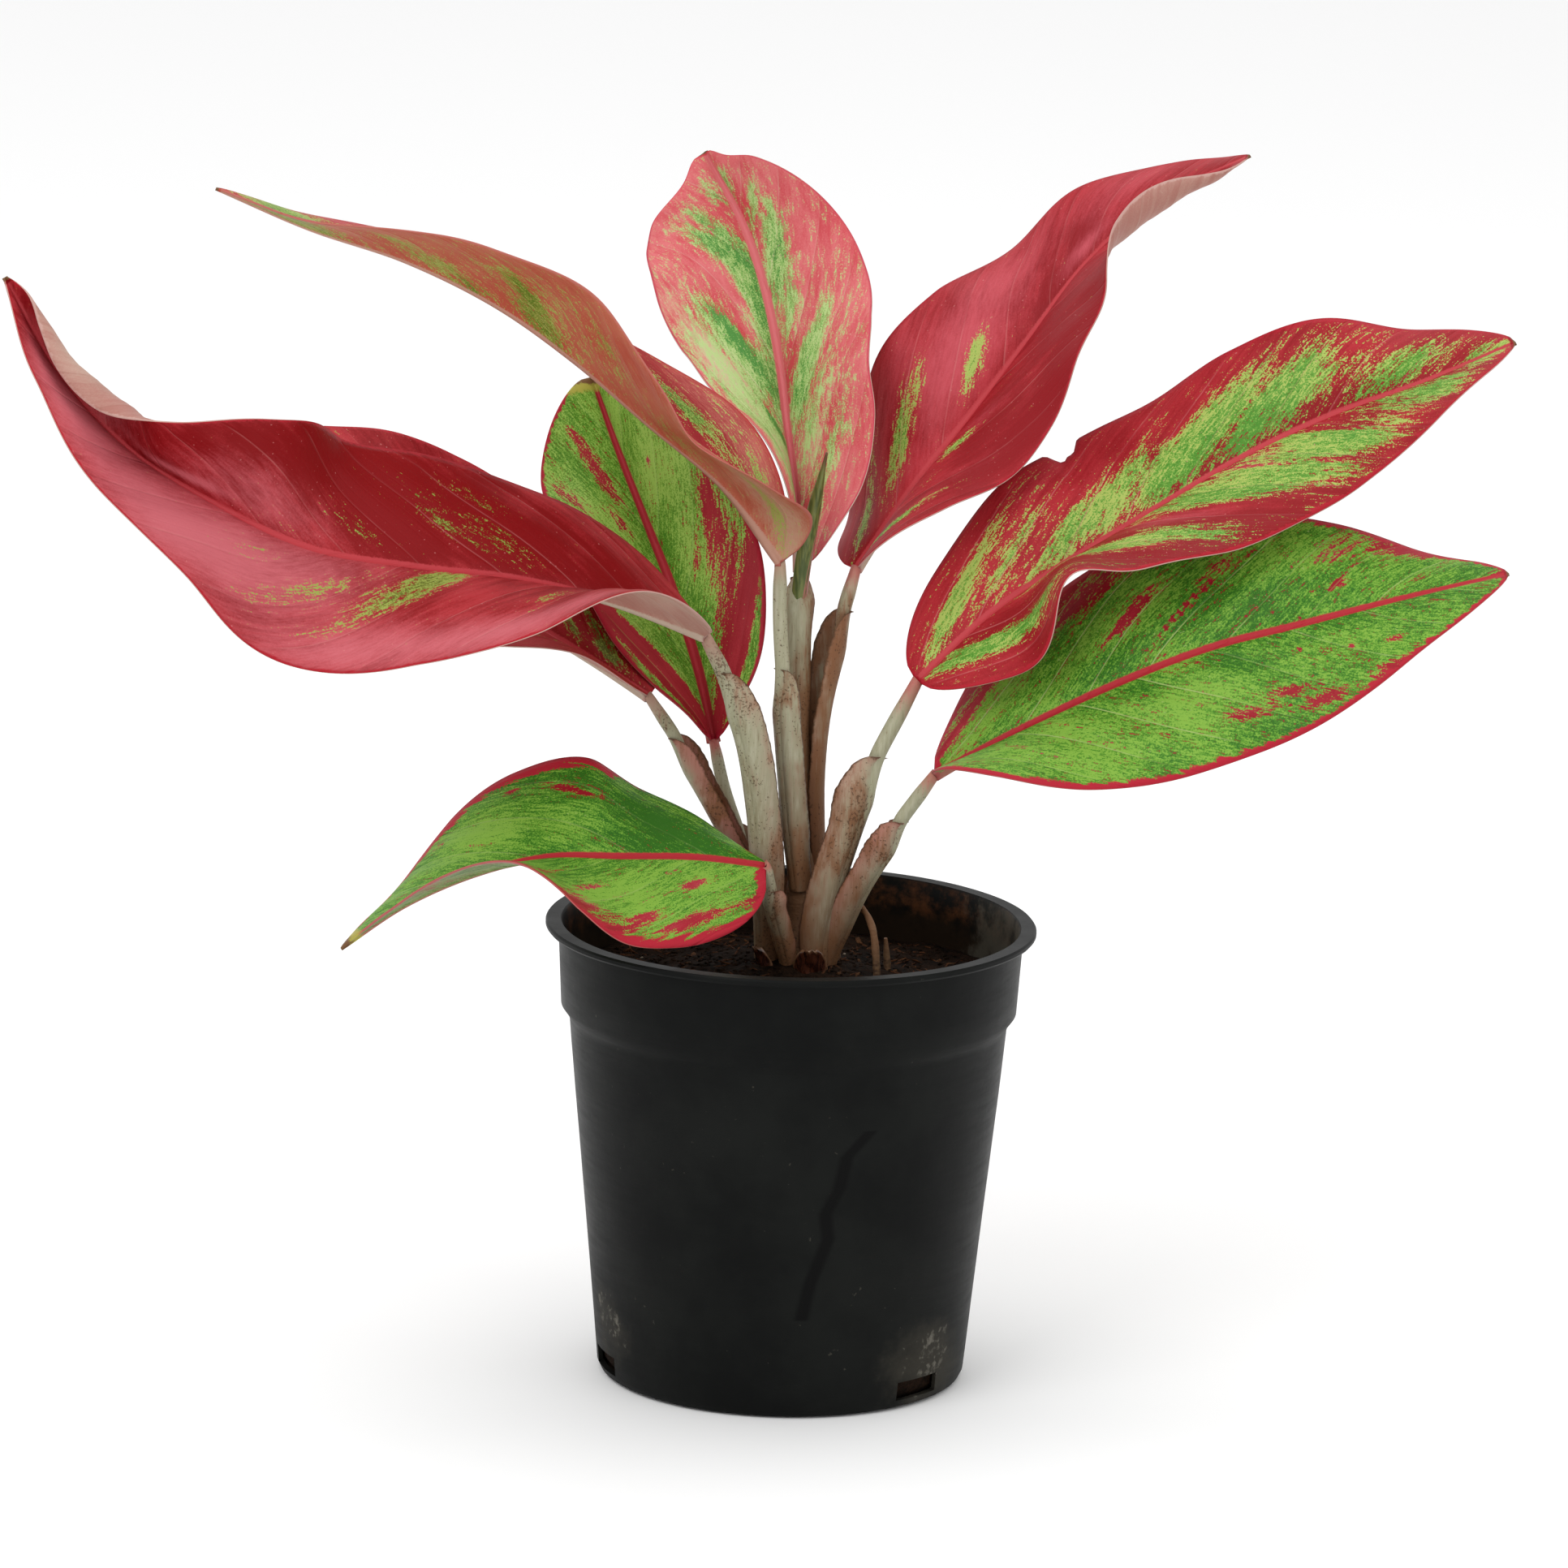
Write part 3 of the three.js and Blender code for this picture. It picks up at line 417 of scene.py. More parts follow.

# %% [markdown]
# ## What is painted on each blade
# A red Chinese evergreen paints no two leaves alike, but all its patches run with the side veins. A
# patch here is (t, s, length, reach, amount): t runs from foot to tip, s from the left margin (-1) to
# the right (1), length is its half-width along the leaf, reach its half-height across it, and amount
# how much green it adds. green is where a leaf starts: the higher, the greener. pale lays a light
# colour over the red, partly a painted sheen, that is a painted reflection of the bright sky, and partly
# a paler tint of the leaf, and it also lightens the green. dark lays a deeper tone over whatever is
# there. rib and band are half the width of the midrib, at its foot and at its tip, and the width of the
# red margin, in millimetres. vein says how clearly the side veins show, soft how blurred the patches
# are, mottle how uneven the painted sheen is, old where the tip begins to turn, and bare up to where
# one margin has no red. grain holds the scales of two noises and their squeeze across the leaf. The
# finer streaks are left to noise, which no table could hold.

# %% Paint table
LOOKS = {
    "upper_left": dict(
        palette="salmon", green=-0.35, mottle=1.0, grain=(0.35, 0.9, 0.6),
        rib=(1.5, 0.8), band=0.9, vein=0.15,
        patches=[(0.1, -0.5, 0.025, 0.3, 1.3), (0.1, 0.5, 0.025, 0.3, 1.0),
                 (0.25, -0.2, 0.04, 0.2, 0.8), (0.2, 0.42, 0.05, 0.16, 1.1),
                 (0.27, 0.5, 0.03, 0.15, 0.9), (0.42, -0.5, 0.05, 0.3, 0.6),
                 (0.42, 0.5, 0.05, 0.3, 0.6), (0.5, -0.1, 0.04, 0.18, 1.2),
                 (0.55, -0.45, 0.12, 0.45, 0.7), (0.55, 0.45, 0.12, 0.45, 0.5),
                 (0.5, 0.1, 0.04, 0.18, 1.2), (0.56, -0.4, 0.02, 0.2, 1.0),
                 (0.56, 0.4, 0.02, 0.2, 1.0), (0.66, -0.15, 0.06, 0.22, 1.2),
                 (0.66, 0.15, 0.06, 0.22, 1.2), (0.74, -0.5, 0.04, 0.25, 0.9),
                 (0.74, 0.45, 0.05, 0.25, 1.1), (0.9, -0.4, 0.09, 0.6, 2.0),
                 (0.9, 0.4, 0.09, 0.6, 2.0)],
        pale=[(0.05, -0.5, 0.1, 0.6, 0.9), (0.05, 0.5, 0.1, 0.6, 0.9)],
        dark=[(0.5, -0.05, 0.05, 0.12, 0.7), (0.5, 0.05, 0.05, 0.12, 0.7),
              (0.62, -0.05, 0.05, 0.1, 0.6), (0.25, 0.6, 0.1, 0.4, 0.5), (0.9, -0.8, 0.1, 0.3, 0.6)]),
    "centre_back": dict(
        palette="pink", green=-0.3, soft=0.6, mottle=1.0, grain=(0.2, 0.42, 1.7),
        rib=(2.6, 1.1), band=0.7, vein=0.3,
        patches=[(0.14, -0.4, 0.05, 0.5, 1.3), (0.25, -0.5, 0.05, 0.5, 1.5),
                 (0.34, -0.4, 0.05, 0.45, 1.5), (0.31, -0.22, 0.02, 0.12, 1.2),
                 (0.5, -0.3, 0.04, 0.2, 0.7), (0.45, -0.4, 0.05, 0.35, 1.0),
                 (0.54, -0.45, 0.06, 0.25, 2.2), (0.48, -0.1, 0.1, 0.12, 1.9),
                 (0.62, -0.12, 0.06, 0.14, 2.0), (0.74, -0.15, 0.07, 0.2, 1.9),
                 (0.8, -0.4, 0.05, 0.25, 1.6), (0.7, -0.4, 0.015, 0.3, -0.8),
                 (0.88, -0.4, 0.03, 0.2, 1.3), (0.4, 0.25, 0.06, 0.2, 1.6),
                 (0.5, 0.4, 0.05, 0.25, 1.9), (0.6, 0.2, 0.05, 0.15, 1.6),
                 (0.3, 0.35, 0.06, 0.35, 1.2), (0.2, 0.5, 0.06, 0.3, 1.1),
                 (0.7, 0.22, 0.05, 0.18, 2.0), (0.78, 0.3, 0.04, 0.25, 1.8),
                 (0.86, 0.35, 0.03, 0.3, 1.3), (0.93, 0.1, 0.05, 0.25, 1.5),
                 (0.93, -0.25, 0.04, 0.25, 1.1)],
        pale=[(0.38, -0.5, 0.08, 0.4, 0.75), (0.25, -0.6, 0.08, 0.4, 0.6),
              (0.28, 0.35, 0.08, 0.3, 0.6), (0.6, -0.8, 0.12, 0.2, 0.4)],
        dark=[(0.31, -0.22, 0.02, 0.12, 2.6), (0.5, -0.3, 0.04, 0.2, 1.1),
              (0.55, -0.42, 0.04, 0.15, 0.8), (0.6, -0.08, 0.08, 0.08, 0.9),
              (0.75, -0.08, 0.05, 0.08, 0.8), (0.47, 0.12, 0.04, 0.1, 0.9),
              (0.85, 0.1, 0.06, 0.12, 0.6)]),
    "upper_right": dict(
        palette="red", green=-0.9, rib=(1.5, 0.5), band=0.9, vein=0.3, soft=0.2,
        patches=[(0.12, -0.5, 0.03, 0.3, 2.0), (0.22, -0.38, 0.045, 0.2, 1.3),
                 (0.29, -0.5, 0.045, 0.22, 1.25), (0.36, -0.55, 0.02, 0.15, 1.2),
                 (0.42, -0.22, 0.035, 0.13, 1.9), (0.45, -0.32, 0.03, 0.1, 1.2),
                 (0.28, 0.14, 0.03, 0.09, 1.9), (0.2, 0.2, 0.03, 0.12, 0.9),
                 (0.09, 0.4, 0.025, 0.25, 2.0)],
        pale=[(0.48, -0.5, 0.2, 0.5, 0.75), (0.3, -0.8, 0.1, 0.3, 0.4), (0.4, 0.4, 0.15, 0.4, 0.15),
              (0.36, 0.2, 0.05, 0.15, 0.3), (0.68, -0.15, 0.06, 0.1, 0.6), (0.8, -0.6, 0.15, 0.6, 0.5),
              (0.2, 0.5, 0.08, 0.3, 0.3)],
        dark=[(0.6, -0.12, 0.07, 0.1, 0.7), (0.55, -0.3, 0.03, 0.15, 0.5), (0.55, 0.85, 0.3, 0.2, 0.7),
              (0.5, 0.4, 0.25, 0.4, 0.4), (0.05, -0.3, 0.05, 0.5, 0.4), (0.35, 0.8, 0.1, 0.2, 0.5),
              (0.7, -0.3, 0.03, 0.15, 0.6)]),
    "right": dict(
        palette="red", green=-0.5, rib=(1.4, 0.8), band=1.6, vein=0.4, soft=0.16,
        patches=[(0.12, -0.42, 0.035, 0.35, 2.1), (0.22, -0.35, 0.035, 0.3, 1.3),
                 (0.31, -0.25, 0.045, 0.25, 1.6), (0.39, -0.3, 0.045, 0.3, 1.5),
                 (0.47, -0.3, 0.05, 0.3, 1.5), (0.57, -0.38, 0.07, 0.38, 2.1),
                 (0.7, -0.4, 0.07, 0.4, 1.9), (0.84, -0.35, 0.08, 0.4, 1.7),
                 (0.96, -0.2, 0.05, 0.4, 1.3), (0.62, -0.4, 0.008, 0.3, -1.3),
                 (0.77, -0.62, 0.02, 0.15, -1.2), (0.52, -0.6, 0.02, 0.1, -0.8),
                 (0.09, 0.42, 0.03, 0.35, 1.7), (0.17, 0.5, 0.03, 0.3, 1.5),
                 (0.33, 0.4, 0.04, 0.4, 1.5), (0.42, 0.55, 0.04, 0.3, 1.3),
                 (0.48, 0.3, 0.05, 0.3, 1.3), (0.6, 0.4, 0.08, 0.4, 2.0), (0.72, 0.4, 0.07, 0.42, 2.0),
                 (0.86, 0.35, 0.08, 0.42, 1.8), (0.96, 0.2, 0.05, 0.4, 1.3),
                 (0.4, 0.25, 0.015, 0.2, -1.1), (0.52, 0.55, 0.015, 0.2, -1.3),
                 (0.6, 0.3, 0.006, 0.2, -1.9), (0.68, 0.55, 0.01, 0.15, -1.5),
                 (0.73, 0.3, 0.006, 0.2, -1.7)],
        pale=[(0.3, -0.8, 0.08, 0.2, 0.3), (0.45, 0.4, 0.04, 0.3, 0.5), (0.6, 0.2, 0.1, 0.25, 0.6),
              (0.6, -0.5, 0.1, 0.2, 0.4), (0.1, -0.2, 0.05, 0.2, 0.3)],
        dark=[(0.28, 0.6, 0.05, 0.5, 0.9), (0.38, 0.3, 0.04, 0.3, 0.6), (0.55, -0.12, 0.12, 0.12, 0.8),
              (0.75, -0.1, 0.1, 0.1, 0.6), (0.5, 0.9, 0.3, 0.12, 0.5)]),
    "lower_right": dict(
        palette="green", green=1.3, rib=(1.5, 1.0), band=2.6, vein=0.8,
        patches=[(0.03, -0.5, 0.012, 0.6, -1.6), (0.13, -0.92, 0.05, 0.1, -1.5),
                 (0.38, -0.42, 0.014, 0.11, -1.9), (0.42, -0.55, 0.012, 0.12, -1.6),
                 (0.22, -0.75, 0.08, 0.3, -1.1), (0.47, -0.35, 0.005, 0.2, -1.9),
                 (0.36, -0.8, 0.05, 0.12, -1.3), (0.55, -0.6, 0.03, 0.15, -0.9),
                 (0.73, -0.3, 0.014, 0.05, -2.3), (0.69, -0.27, 0.006, 0.03, -1.6),
                 (0.74, -0.6, 0.03, 0.12, -1.0), (0.84, -0.85, 0.1, 0.16, -1.9),
                 (0.54, 0.66, 0.04, 0.07, -1.6), (0.62, 0.6, 0.035, 0.05, -1.5),
                 (0.67, 0.8, 0.05, 0.08, -1.6), (0.73, 0.42, 0.006, 0.03, -2.4),
                 (0.65, 0.25, 0.004, 0.03, -2.0), (0.8, 0.6, 0.02, 0.06, -1.6),
                 (0.78, 0.9, 0.06, 0.08, -1.6), (0.99, 0.0, 0.03, 1.5, -1.8)],
        pale=[(0.2, 0.55, 0.12, 0.35, 0.8), (0.5, 0.45, 0.12, 0.3, 0.6), (0.7, -0.6, 0.1, 0.25, 0.7),
              (0.12, -0.4, 0.06, 0.4, 0.7), (0.75, 0.3, 0.1, 0.3, 0.5)],
        dark=[(0.35, -0.15, 0.06, 0.25, 0.9), (0.5, -0.3, 0.05, 0.3, 0.8), (0.6, -0.2, 0.04, 0.2, 0.9),
              (0.35, 0.15, 0.1, 0.1, 0.9), (0.55, 0.2, 0.06, 0.12, 0.7), (0.3, -0.6, 0.08, 0.3, 0.6),
              (0.7, 0.1, 0.1, 0.12, 0.6)]),
    "left": dict(
        palette="crimson", green=-0.9, rib=(1.3, 0.6), band=0.9, vein=0.3, soft=0.25,
        patches=[(0.39, -0.28, 0.035, 0.26, 1.7), (0.5, -0.4, 0.03, 0.3, 1.4),
                 (0.34, -0.12, 0.03, 0.1, 1.4), (0.45, -0.6, 0.02, 0.25, 1.2),
                 (0.22, -0.5, 0.04, 0.15, 1.1), (0.27, 0.35, 0.03, 0.25, 1.2),
                 (0.35, 0.4, 0.03, 0.25, 1.1), (0.45, 0.25, 0.03, 0.15, 1.0),
                 (0.3, 0.7, 0.03, 0.15, 1.0), (0.57, -0.25, 0.035, 0.15, 1.0),
                 (0.55, 0.1, 0.05, 0.05, 0.7)],
        pale=[(0.62, -0.5, 0.18, 0.6, 1.1), (0.85, -0.4, 0.15, 0.7, 0.8), (0.85, 0.4, 0.12, 0.5, 0.6),
              (0.28, -0.85, 0.14, 0.2, 0.8), (0.55, 0.3, 0.1, 0.4, 0.3), (0.62, 0.25, 0.1, 0.3, 0.4),
              (0.68, 0.15, 0.06, 0.06, 0.7), (0.45, -0.8, 0.1, 0.25, 0.5)],
        dark=[(0.28, 0.4, 0.14, 0.5, 0.9), (0.42, 0.2, 0.06, 0.2, 0.6), (0.15, -0.2, 0.06, 0.3, 0.4),
              (0.62, 0.75, 0.2, 0.3, 0.6), (0.5, -0.15, 0.06, 0.1, 0.5)]),
    "left_back": dict(
        palette="crimson", green=-0.7, rib=(1.5, 0.8), band=0.9, vein=0.15, soft=0.2,
        patches=[(0.12, 0.22, 0.04, 0.12, 1.8), (0.22, 0.2, 0.025, 0.1, 1.4),
                 (0.17, 0.4, 0.03, 0.12, 1.1), (0.5, -0.5, 0.03, 0.4, 1.8),
                 (0.4, -0.45, 0.03, 0.35, 1.9), (0.32, -0.5, 0.02, 0.3, 1.3),
                 (0.56, 0.35, 0.04, 0.15, 1.4), (0.68, -0.4, 0.03, 0.3, 1.3),
                 (0.75, 0.4, 0.03, 0.2, 1.2), (0.3, 0.6, 0.03, 0.2, 1.0)],
        pale=[(0.8, 0.3, 0.2, 0.6, 0.4), (0.42, -0.4, 0.08, 0.4, 0.5)],
        dark=[(0.15, 0.2, 0.1, 0.3, 0.7), (0.6, 0.15, 0.12, 0.2, 0.5)]),
    "back_left": dict(
        palette="lime", green=1.4, rib=(2.4, 1.2), band=1.8, vein=0.3, old=0.95,
        patches=[(0.0, 0.0, 0.04, 2.0, -2.6), (0.05, -0.7, 0.03, 0.5, -1.6),
                 (0.17, -0.5, 0.025, 0.18, -1.5), (0.22, -0.6, 0.02, 0.2, -1.2),
                 (0.3, 0.6, 0.06, 0.35, -1.5), (0.21, 0.75, 0.03, 0.2, -1.5),
                 (0.43, 0.62, 0.055, 0.25, -1.35), (0.44, 0.38, 0.015, 0.14, -1.2),
                 (0.56, 0.75, 0.05, 0.2, -1.3), (0.7, -0.3, 0.05, 0.12, -1.6),
                 (0.79, -0.42, 0.04, 0.14, -1.6), (0.6, -0.34, 0.03, 0.1, -1.4),
                 (0.86, -0.6, 0.03, 0.2, -1.5), (0.68, -0.75, 0.04, 0.16, -1.2),
                 (0.72, 0.37, 0.008, 0.03, -2.4)],
        pale=[(0.6, -0.5, 0.12, 0.3, 0.6), (0.75, 0.5, 0.1, 0.4, 0.6), (0.9, 0.3, 0.06, 0.5, 0.8)],
        dark=[(0.45, 0.12, 0.12, 0.12, 0.8), (0.2, -0.25, 0.06, 0.15, 0.7),
              (0.65, -0.1, 0.1, 0.1, 0.5), (0.3, 0.2, 0.06, 0.12, 0.6)]),
    "front_low": dict(
        palette="green", green=1.5, rib=(1.5, 0.7), band=4.0, vein=0.3, old=0.93,
        bare=0.33,
        patches=[(0.17, -0.35, 0.02, 0.07, -2.6), (0.31, -0.7, 0.03, 0.08, -2.4),
                 (0.25, -0.8, 0.03, 0.07, -2.0), (0.2, -0.68, 0.015, 0.07, -1.3),
                 (0.23, -0.2, 0.01, 0.05, -1.3), (0.44, -0.5, 0.012, 0.14, -1.9),
                 (0.54, -0.45, 0.014, 0.16, -1.9), (0.5, -0.85, 0.07, 0.18, -2.2),
                 (0.4, -0.9, 0.05, 0.12, -1.9), (0.58, -0.7, 0.03, 0.14, -2.0),
                 (0.64, -0.85, 0.06, 0.2, -1.9), (0.16, -0.75, 0.03, 0.1, -1.6),
                 (0.4, 0.62, 0.018, 0.05, -2.3), (0.44, 0.72, 0.014, 0.04, -2.1),
                 (0.52, 0.8, 0.015, 0.05, -1.9), (0.7, 0.77, 0.02, 0.05, -1.8),
                 (0.36, 0.6, 0.006, 0.03, -1.7), (0.78, -0.5, 0.06, 0.4, -1.3)],
        pale=[(0.35, -0.45, 0.12, 0.35, 1.0), (0.65, 0.5, 0.12, 0.3, 0.7),
              (0.12, -0.5, 0.06, 0.4, 0.5)],
        dark=[(0.15, 0.35, 0.1, 0.4, 1.3), (0.3, 0.15, 0.12, 0.15, 0.8), (0.42, 0.55, 0.05, 0.3, 0.4),
              (0.6, 0.1, 0.1, 0.1, 0.4)]),
}
print("patches:", sum(len(look["patches"]) for look in LOOKS.values()))

# %% [markdown]
# ## Half a blade
# The two halves of a blade are never quite alike: one hangs lower, one curls over. So each half has its
# own width, steepness and arch at every place t from foot to tip. A notch is a nick in a margin, and
# two notches at the very end draw the centre leaf out into a drip tip.

# %% Half a blade
NOTCHES = {"right": [("left", 0.36, 0.018, 0.11), ("left", 0.345, 0.01, 0.05)],
           "centre_back": [("left", 1.0, 0.065, 0.5), ("right", 1.0, 0.05, 0.4)]}
LEAST_WIDTH = (1.6, 0.4)


def half_of(leaf, name, side, t):
    """Half width, mean angle and arch of one half at every t."""
    greatest, foot, tip = leaf["width_" + side]
    widest = foot / (foot + tip)
    outline = (t / widest) ** foot * ((1 - t) / (1 - widest)) ** tip
    width = greatest * outline + mix(*LEAST_WIDTH, t)
    for half, at, spread, depth in NOTCHES.get(name, []):
        if half == side:
            width = width * (1 - depth * np.exp(-((t - at) / spread) ** 4))
    angle = curve_through(leaf[side], t, free_ends=False)
    if leaf.get("ripple", (None,))[0] == side:
        _, at, spread, turn = leaf["ripple"]
        angle = angle + turn * np.exp(-((t - at) / spread) ** 2)
    arch = leaf["arch"][0 if side == "left" else 1] + 0 * t
    if leaf.get("curl", (None,))[0] == side:
        _, start, full, turn = leaf["curl"]
        arch = arch + turn * smoothstep(t, start, full) * (1 - smoothstep(t, 0.93, 1))
    return width, angle, arch


for name, leaf in LEAVES.items():
    print(f"half widths of {name}: {leaf['width_left'][0]} and {leaf['width_right'][0]} mm at most")

# %% [markdown]
# ## One blade as a sheet
# Nine blades could be sculpted one by one, but a rule with a table keeps them alike in kind and easy
# to correct. At each place on the midrib stands a section that arches out to both margins. The arc is
# added up from a few short parts, which keeps its length whatever its bend. The arrays hold all places
# at once: rows run from foot to tip and columns from margin to margin.

# %% Blade sheet
ARC_PARTS = 8


def blade_sheet(name, t, s):
    """The upper face of a blade, and the half width at every point."""
    leaf = LEAVES[name]
    path = curve_through(leaf["midrib"], t)[:, None]
    along = direction_along(leaf["midrib"], t)
    front = np.array(leaf["front"], float)
    face = unit(front - (along @ front)[:, None] * along)
    across = np.cross(along, face)[:, None]
    face = face[:, None]
    is_left = (s < 0)[None, :]
    left, right = (half_of(leaf, name, side, t) for side in ("left", "right"))
    width, angle, arch = (np.where(is_left, a[:, None], b[:, None]) for a, b in zip(left, right))
    reach = np.zeros_like(width)
    rise = np.zeros_like(width)
    for i in range(ARC_PARTS):
        turn = np.radians(angle + arch * (1 - 2 * np.abs(s)[None, :] * (i + 0.5) / ARC_PARTS))
        reach += np.cos(turn) / ARC_PARTS
        rise += np.sin(turn) / ARC_PARTS
    out = (s[None, :] * width * reach)[..., None]
    up = (np.abs(s)[None, :] * width * rise)[..., None]
    return path + across * out + face * up, width


def sheet_normals(sheet):
    lengthwise = np.gradient(sheet, axis=0)
    sideways = np.gradient(sheet, axis=1)
    return unit(np.cross(sideways, lengthwise))


for name, leaf in LEAVES.items():
    print(f"blade {name}: {path_length(leaf['midrib']):.0f} mm long")

# %% [markdown]
# ## Side veins
# Side veins leave the midrib at a slant and bend towards the tip. Drawn one by one they would need a
# curve each. A field does with one formula: a number that grows along the leaf and falls towards its
# margins is the same all along a vein. Slow waves in it make the veins as uneven as real ones.

# %% Side veins
VEIN_SPACING = 25.0
VEIN_SLANT = 1.4
VEIN_BEND = 0.006
VEIN_WAVES = ((4, 34, 1), (2.2, 13, 2.1))
HALVES_APART = 6


def vein_fields(along, across, seed):
    """Two fields that grow from one side vein to the next: even ones, and the wavering real ones."""
    far = np.abs(across)
    even = along - VEIN_SLANT * far - VEIN_BEND * far ** 2
    wavering = even
    for height, length, shift in VEIN_WAVES:
        wavering = wavering + height * np.sin(along / length + shift * seed)
    return even, wavering + HALVES_APART * (across > 0)


print("side veins along 200 mm of a midrib:", round(200 / VEIN_SPACING))

# %% [markdown]
# ## What a hand would feel
# The plain solid leaves out the fine relief of a leaf, so it is added here: soft quilting between the
# side veins, a little restlessness in the margin, a furrow over the midrib and a keel under its foot.
# A bump in the material could fake all of it, but real points also change the outline.

# %% Relief of a blade
QUILT = 0.24
FINE_QUILT = 0.05
RESTLESS = 0.22
FURROW_DEPTH = 0.5
FURROW_WIDTH = 1.5
BLADE_EDGE = 0.7
RIB_DEPTH = 1.3
RIB_WIDTH = 2.2
KEEL_DEPTH = 0.5
KEEL_LENGTH = 9


def blade_lift(along, across, width, veins, s, seed):
    """Quilting between the side veins, and a restless margin."""
    far = np.abs(across)
    middle = smoothstep(far, 2, 9) * smoothstep(width - far, 0, 8)
    quilt = -np.cos(2 * np.pi * veins / VEIN_SPACING)
    fine_quilt = -np.cos(8 * np.pi * veins / VEIN_SPACING)
    lift = QUILT * middle * quilt + FINE_QUILT * middle * fine_quilt
    restless = np.sin(along / 9.5 + seed * 2 + np.sign(across)) + np.sin(along / 5.3 + seed)
    return lift + RESTLESS * restless * np.abs(s)[None, :] ** 5 * smoothstep(width, 4, 15)


def blade_thickness(name, t, s, along, far):
    """A stout midrib with a keel at its foot, and a thin margin."""
    thin = smoothstep(np.abs(s), 0.9, 1)[None, :]
    from_rib = np.abs(s)[None, :] * LEAVES[name]["width_left"][0] / RIB_WIDTH
    thick = BLADE_EDGE * (1 - 0.45 * thin) + RIB_DEPTH * (1 - 0.7 * t[:, None]) * np.exp(-from_rib ** 2)
    return thick + KEEL_DEPTH * np.exp(-along / KEEL_LENGTH - (far / RIB_WIDTH) ** 2)


print("thickness of a blade at its foot:", BLADE_EDGE + RIB_DEPTH + KEEL_DEPTH, "mm")

# %% [markdown]
# ## Numbers for the paint
# The paint has to know where it is on the leaf. A map of the leaf would tell it only that, so each
# point keeps a few numbers instead: how far along and across it lies, how far from the margin and the
# midrib, and how much green, sheen and shade the table gives it there.

# %% Numbers for the paint
def sum_of_patches(rows, t, s, field, length):
    """Adds up soft patches, which run with the side veins because field does."""
    total = np.zeros_like(field)
    for at, side, half_length, reach, amount in rows:
        centre = field[np.abs(t - at).argmin(), np.abs(s - side).argmin()]
        ahead = (field - centre) / (half_length * length)
        beside = (s - side) / reach
        same_half = 1.0 if side == 0 else np.sign(s) * np.sign(side) >= 0
        total += amount * same_half * np.exp(-ahead ** 2 - beside ** 2)
    return total


def paint_numbers(look, t, s, along, across, width, even, veins, length):
    """The numbers that the paint reads at every point."""
    far = np.abs(across)
    bare_until = look.get("bare", 0)
    bare = (across > 0) * smoothstep(t, bare_until, bare_until - 0.04)[:, None]
    band = look["band"] * (1 - 1.2 * bare) * mix(1, 0.6, t)[:, None]
    from_ends = np.minimum(t, 1 - t)[:, None] * length
    old_from = look.get("old", 0.99)
    patches = {key: sum_of_patches(look[table], t, s, even, length)
               for key, table in (("green", "patches"), ("pale", "pale"), ("dark", "dark"))}
    patches["green"] = look["green"] + patches["green"]
    return dict(
        along=along, across=across, veins=veins, rib=far - mix(*look["rib"], t)[:, None],
        rim=np.minimum(width - far, from_ends + 0 * width) - band,
        old=(t[:, None] - old_from) / (1 - old_from) + 0 * width, **patches)


amounts = [row[-1] for look in LOOKS.values() for row in look["patches"]]
print("strongest and weakest patch of green:", max(amounts), min(amounts, key=abs))

# %% [markdown]
# ## One blade
# Upper and lower face are the same grid of points at two heights, closed by a strip round the edge, so
# a blade is a thin solid without a seam. A Solidify modifier would give it one thickness all over.
# Columns of points crowd towards the midrib, where the furrow is narrow.

# %% One blade
BLADE_ROWS = 170
HALF_COLUMNS = 24
CROWDING = 1.25


def closed_sheet_faces(rows, columns):
    """Faces of the top, the under side and the edge of a sheet, and how many of them are on top."""
    grid = np.arange(rows * columns).reshape(rows, columns)
    a, b, c, d = grid[:-1, :-1], grid[:-1, 1:], grid[1:, 1:], grid[1:, :-1]
    top = np.stack([a, b, c, d], -1).reshape(-1, 4)
    under = np.stack([a, d, c, b], -1).reshape(-1, 4) + rows * columns
    here = np.concatenate([grid[:, 0][::-1], grid[0, 1:], grid[1:, -1], grid[-1, -2:0:-1]])
    after = np.roll(here, -1)
    edge = np.stack([here, here + rows * columns, after + rows * columns, after], -1)
    return np.concatenate([top, under, edge]), len(top)


def make_blade(name, material_upper, material_under):
    seed = list(LEAVES).index(name)
    t = np.linspace(0, 1, BLADE_ROWS + 1)
    side = (np.arange(HALF_COLUMNS + 1) / HALF_COLUMNS) ** CROWDING
    s = np.concatenate([-side[:0:-1], side])
    sheet, width = blade_sheet(name, t, s)
    normal = sheet_normals(sheet)
    length = path_length(LEAVES[name]["midrib"])
    along = np.broadcast_to(t[:, None] * length, width.shape)
    across = s[None, :] * width
    far = np.abs(across)
    even, veins = vein_fields(along, across, seed)
    sheet = sheet + normal * blade_lift(along, across, width, veins, s, seed)[..., None]
    furrow = FURROW_DEPTH * (1 - 0.6 * t[:, None]) * np.exp(-(far / FURROW_WIDTH) ** 2)
    upper = sheet - normal * furrow[..., None]
    lower = sheet - normal * blade_thickness(name, t, s, along, far)[..., None]
    faces, faces_on_top = closed_sheet_faces(*width.shape)
    points = np.concatenate([upper.reshape(-1, 3), lower.reshape(-1, 3)])
    piece = make_object("leaf_" + name, points, faces)
    values = paint_numbers(LOOKS[name], t, s, along, across, width, even, veins, length)
    store(piece, **{key: np.concatenate([v.ravel(), v.ravel()]) for key, v in values.items()})
    piece.data.materials.append(material_upper)
    piece.data.materials.append(material_under)
    is_under = (np.arange(len(faces)) >= faces_on_top).astype(np.int32)
    piece.data.polygons.foreach_set("material_index", is_under)
    return piece


print("points on one face of a blade:", (BLADE_ROWS + 1) * (2 * HALF_COLUMNS + 1))
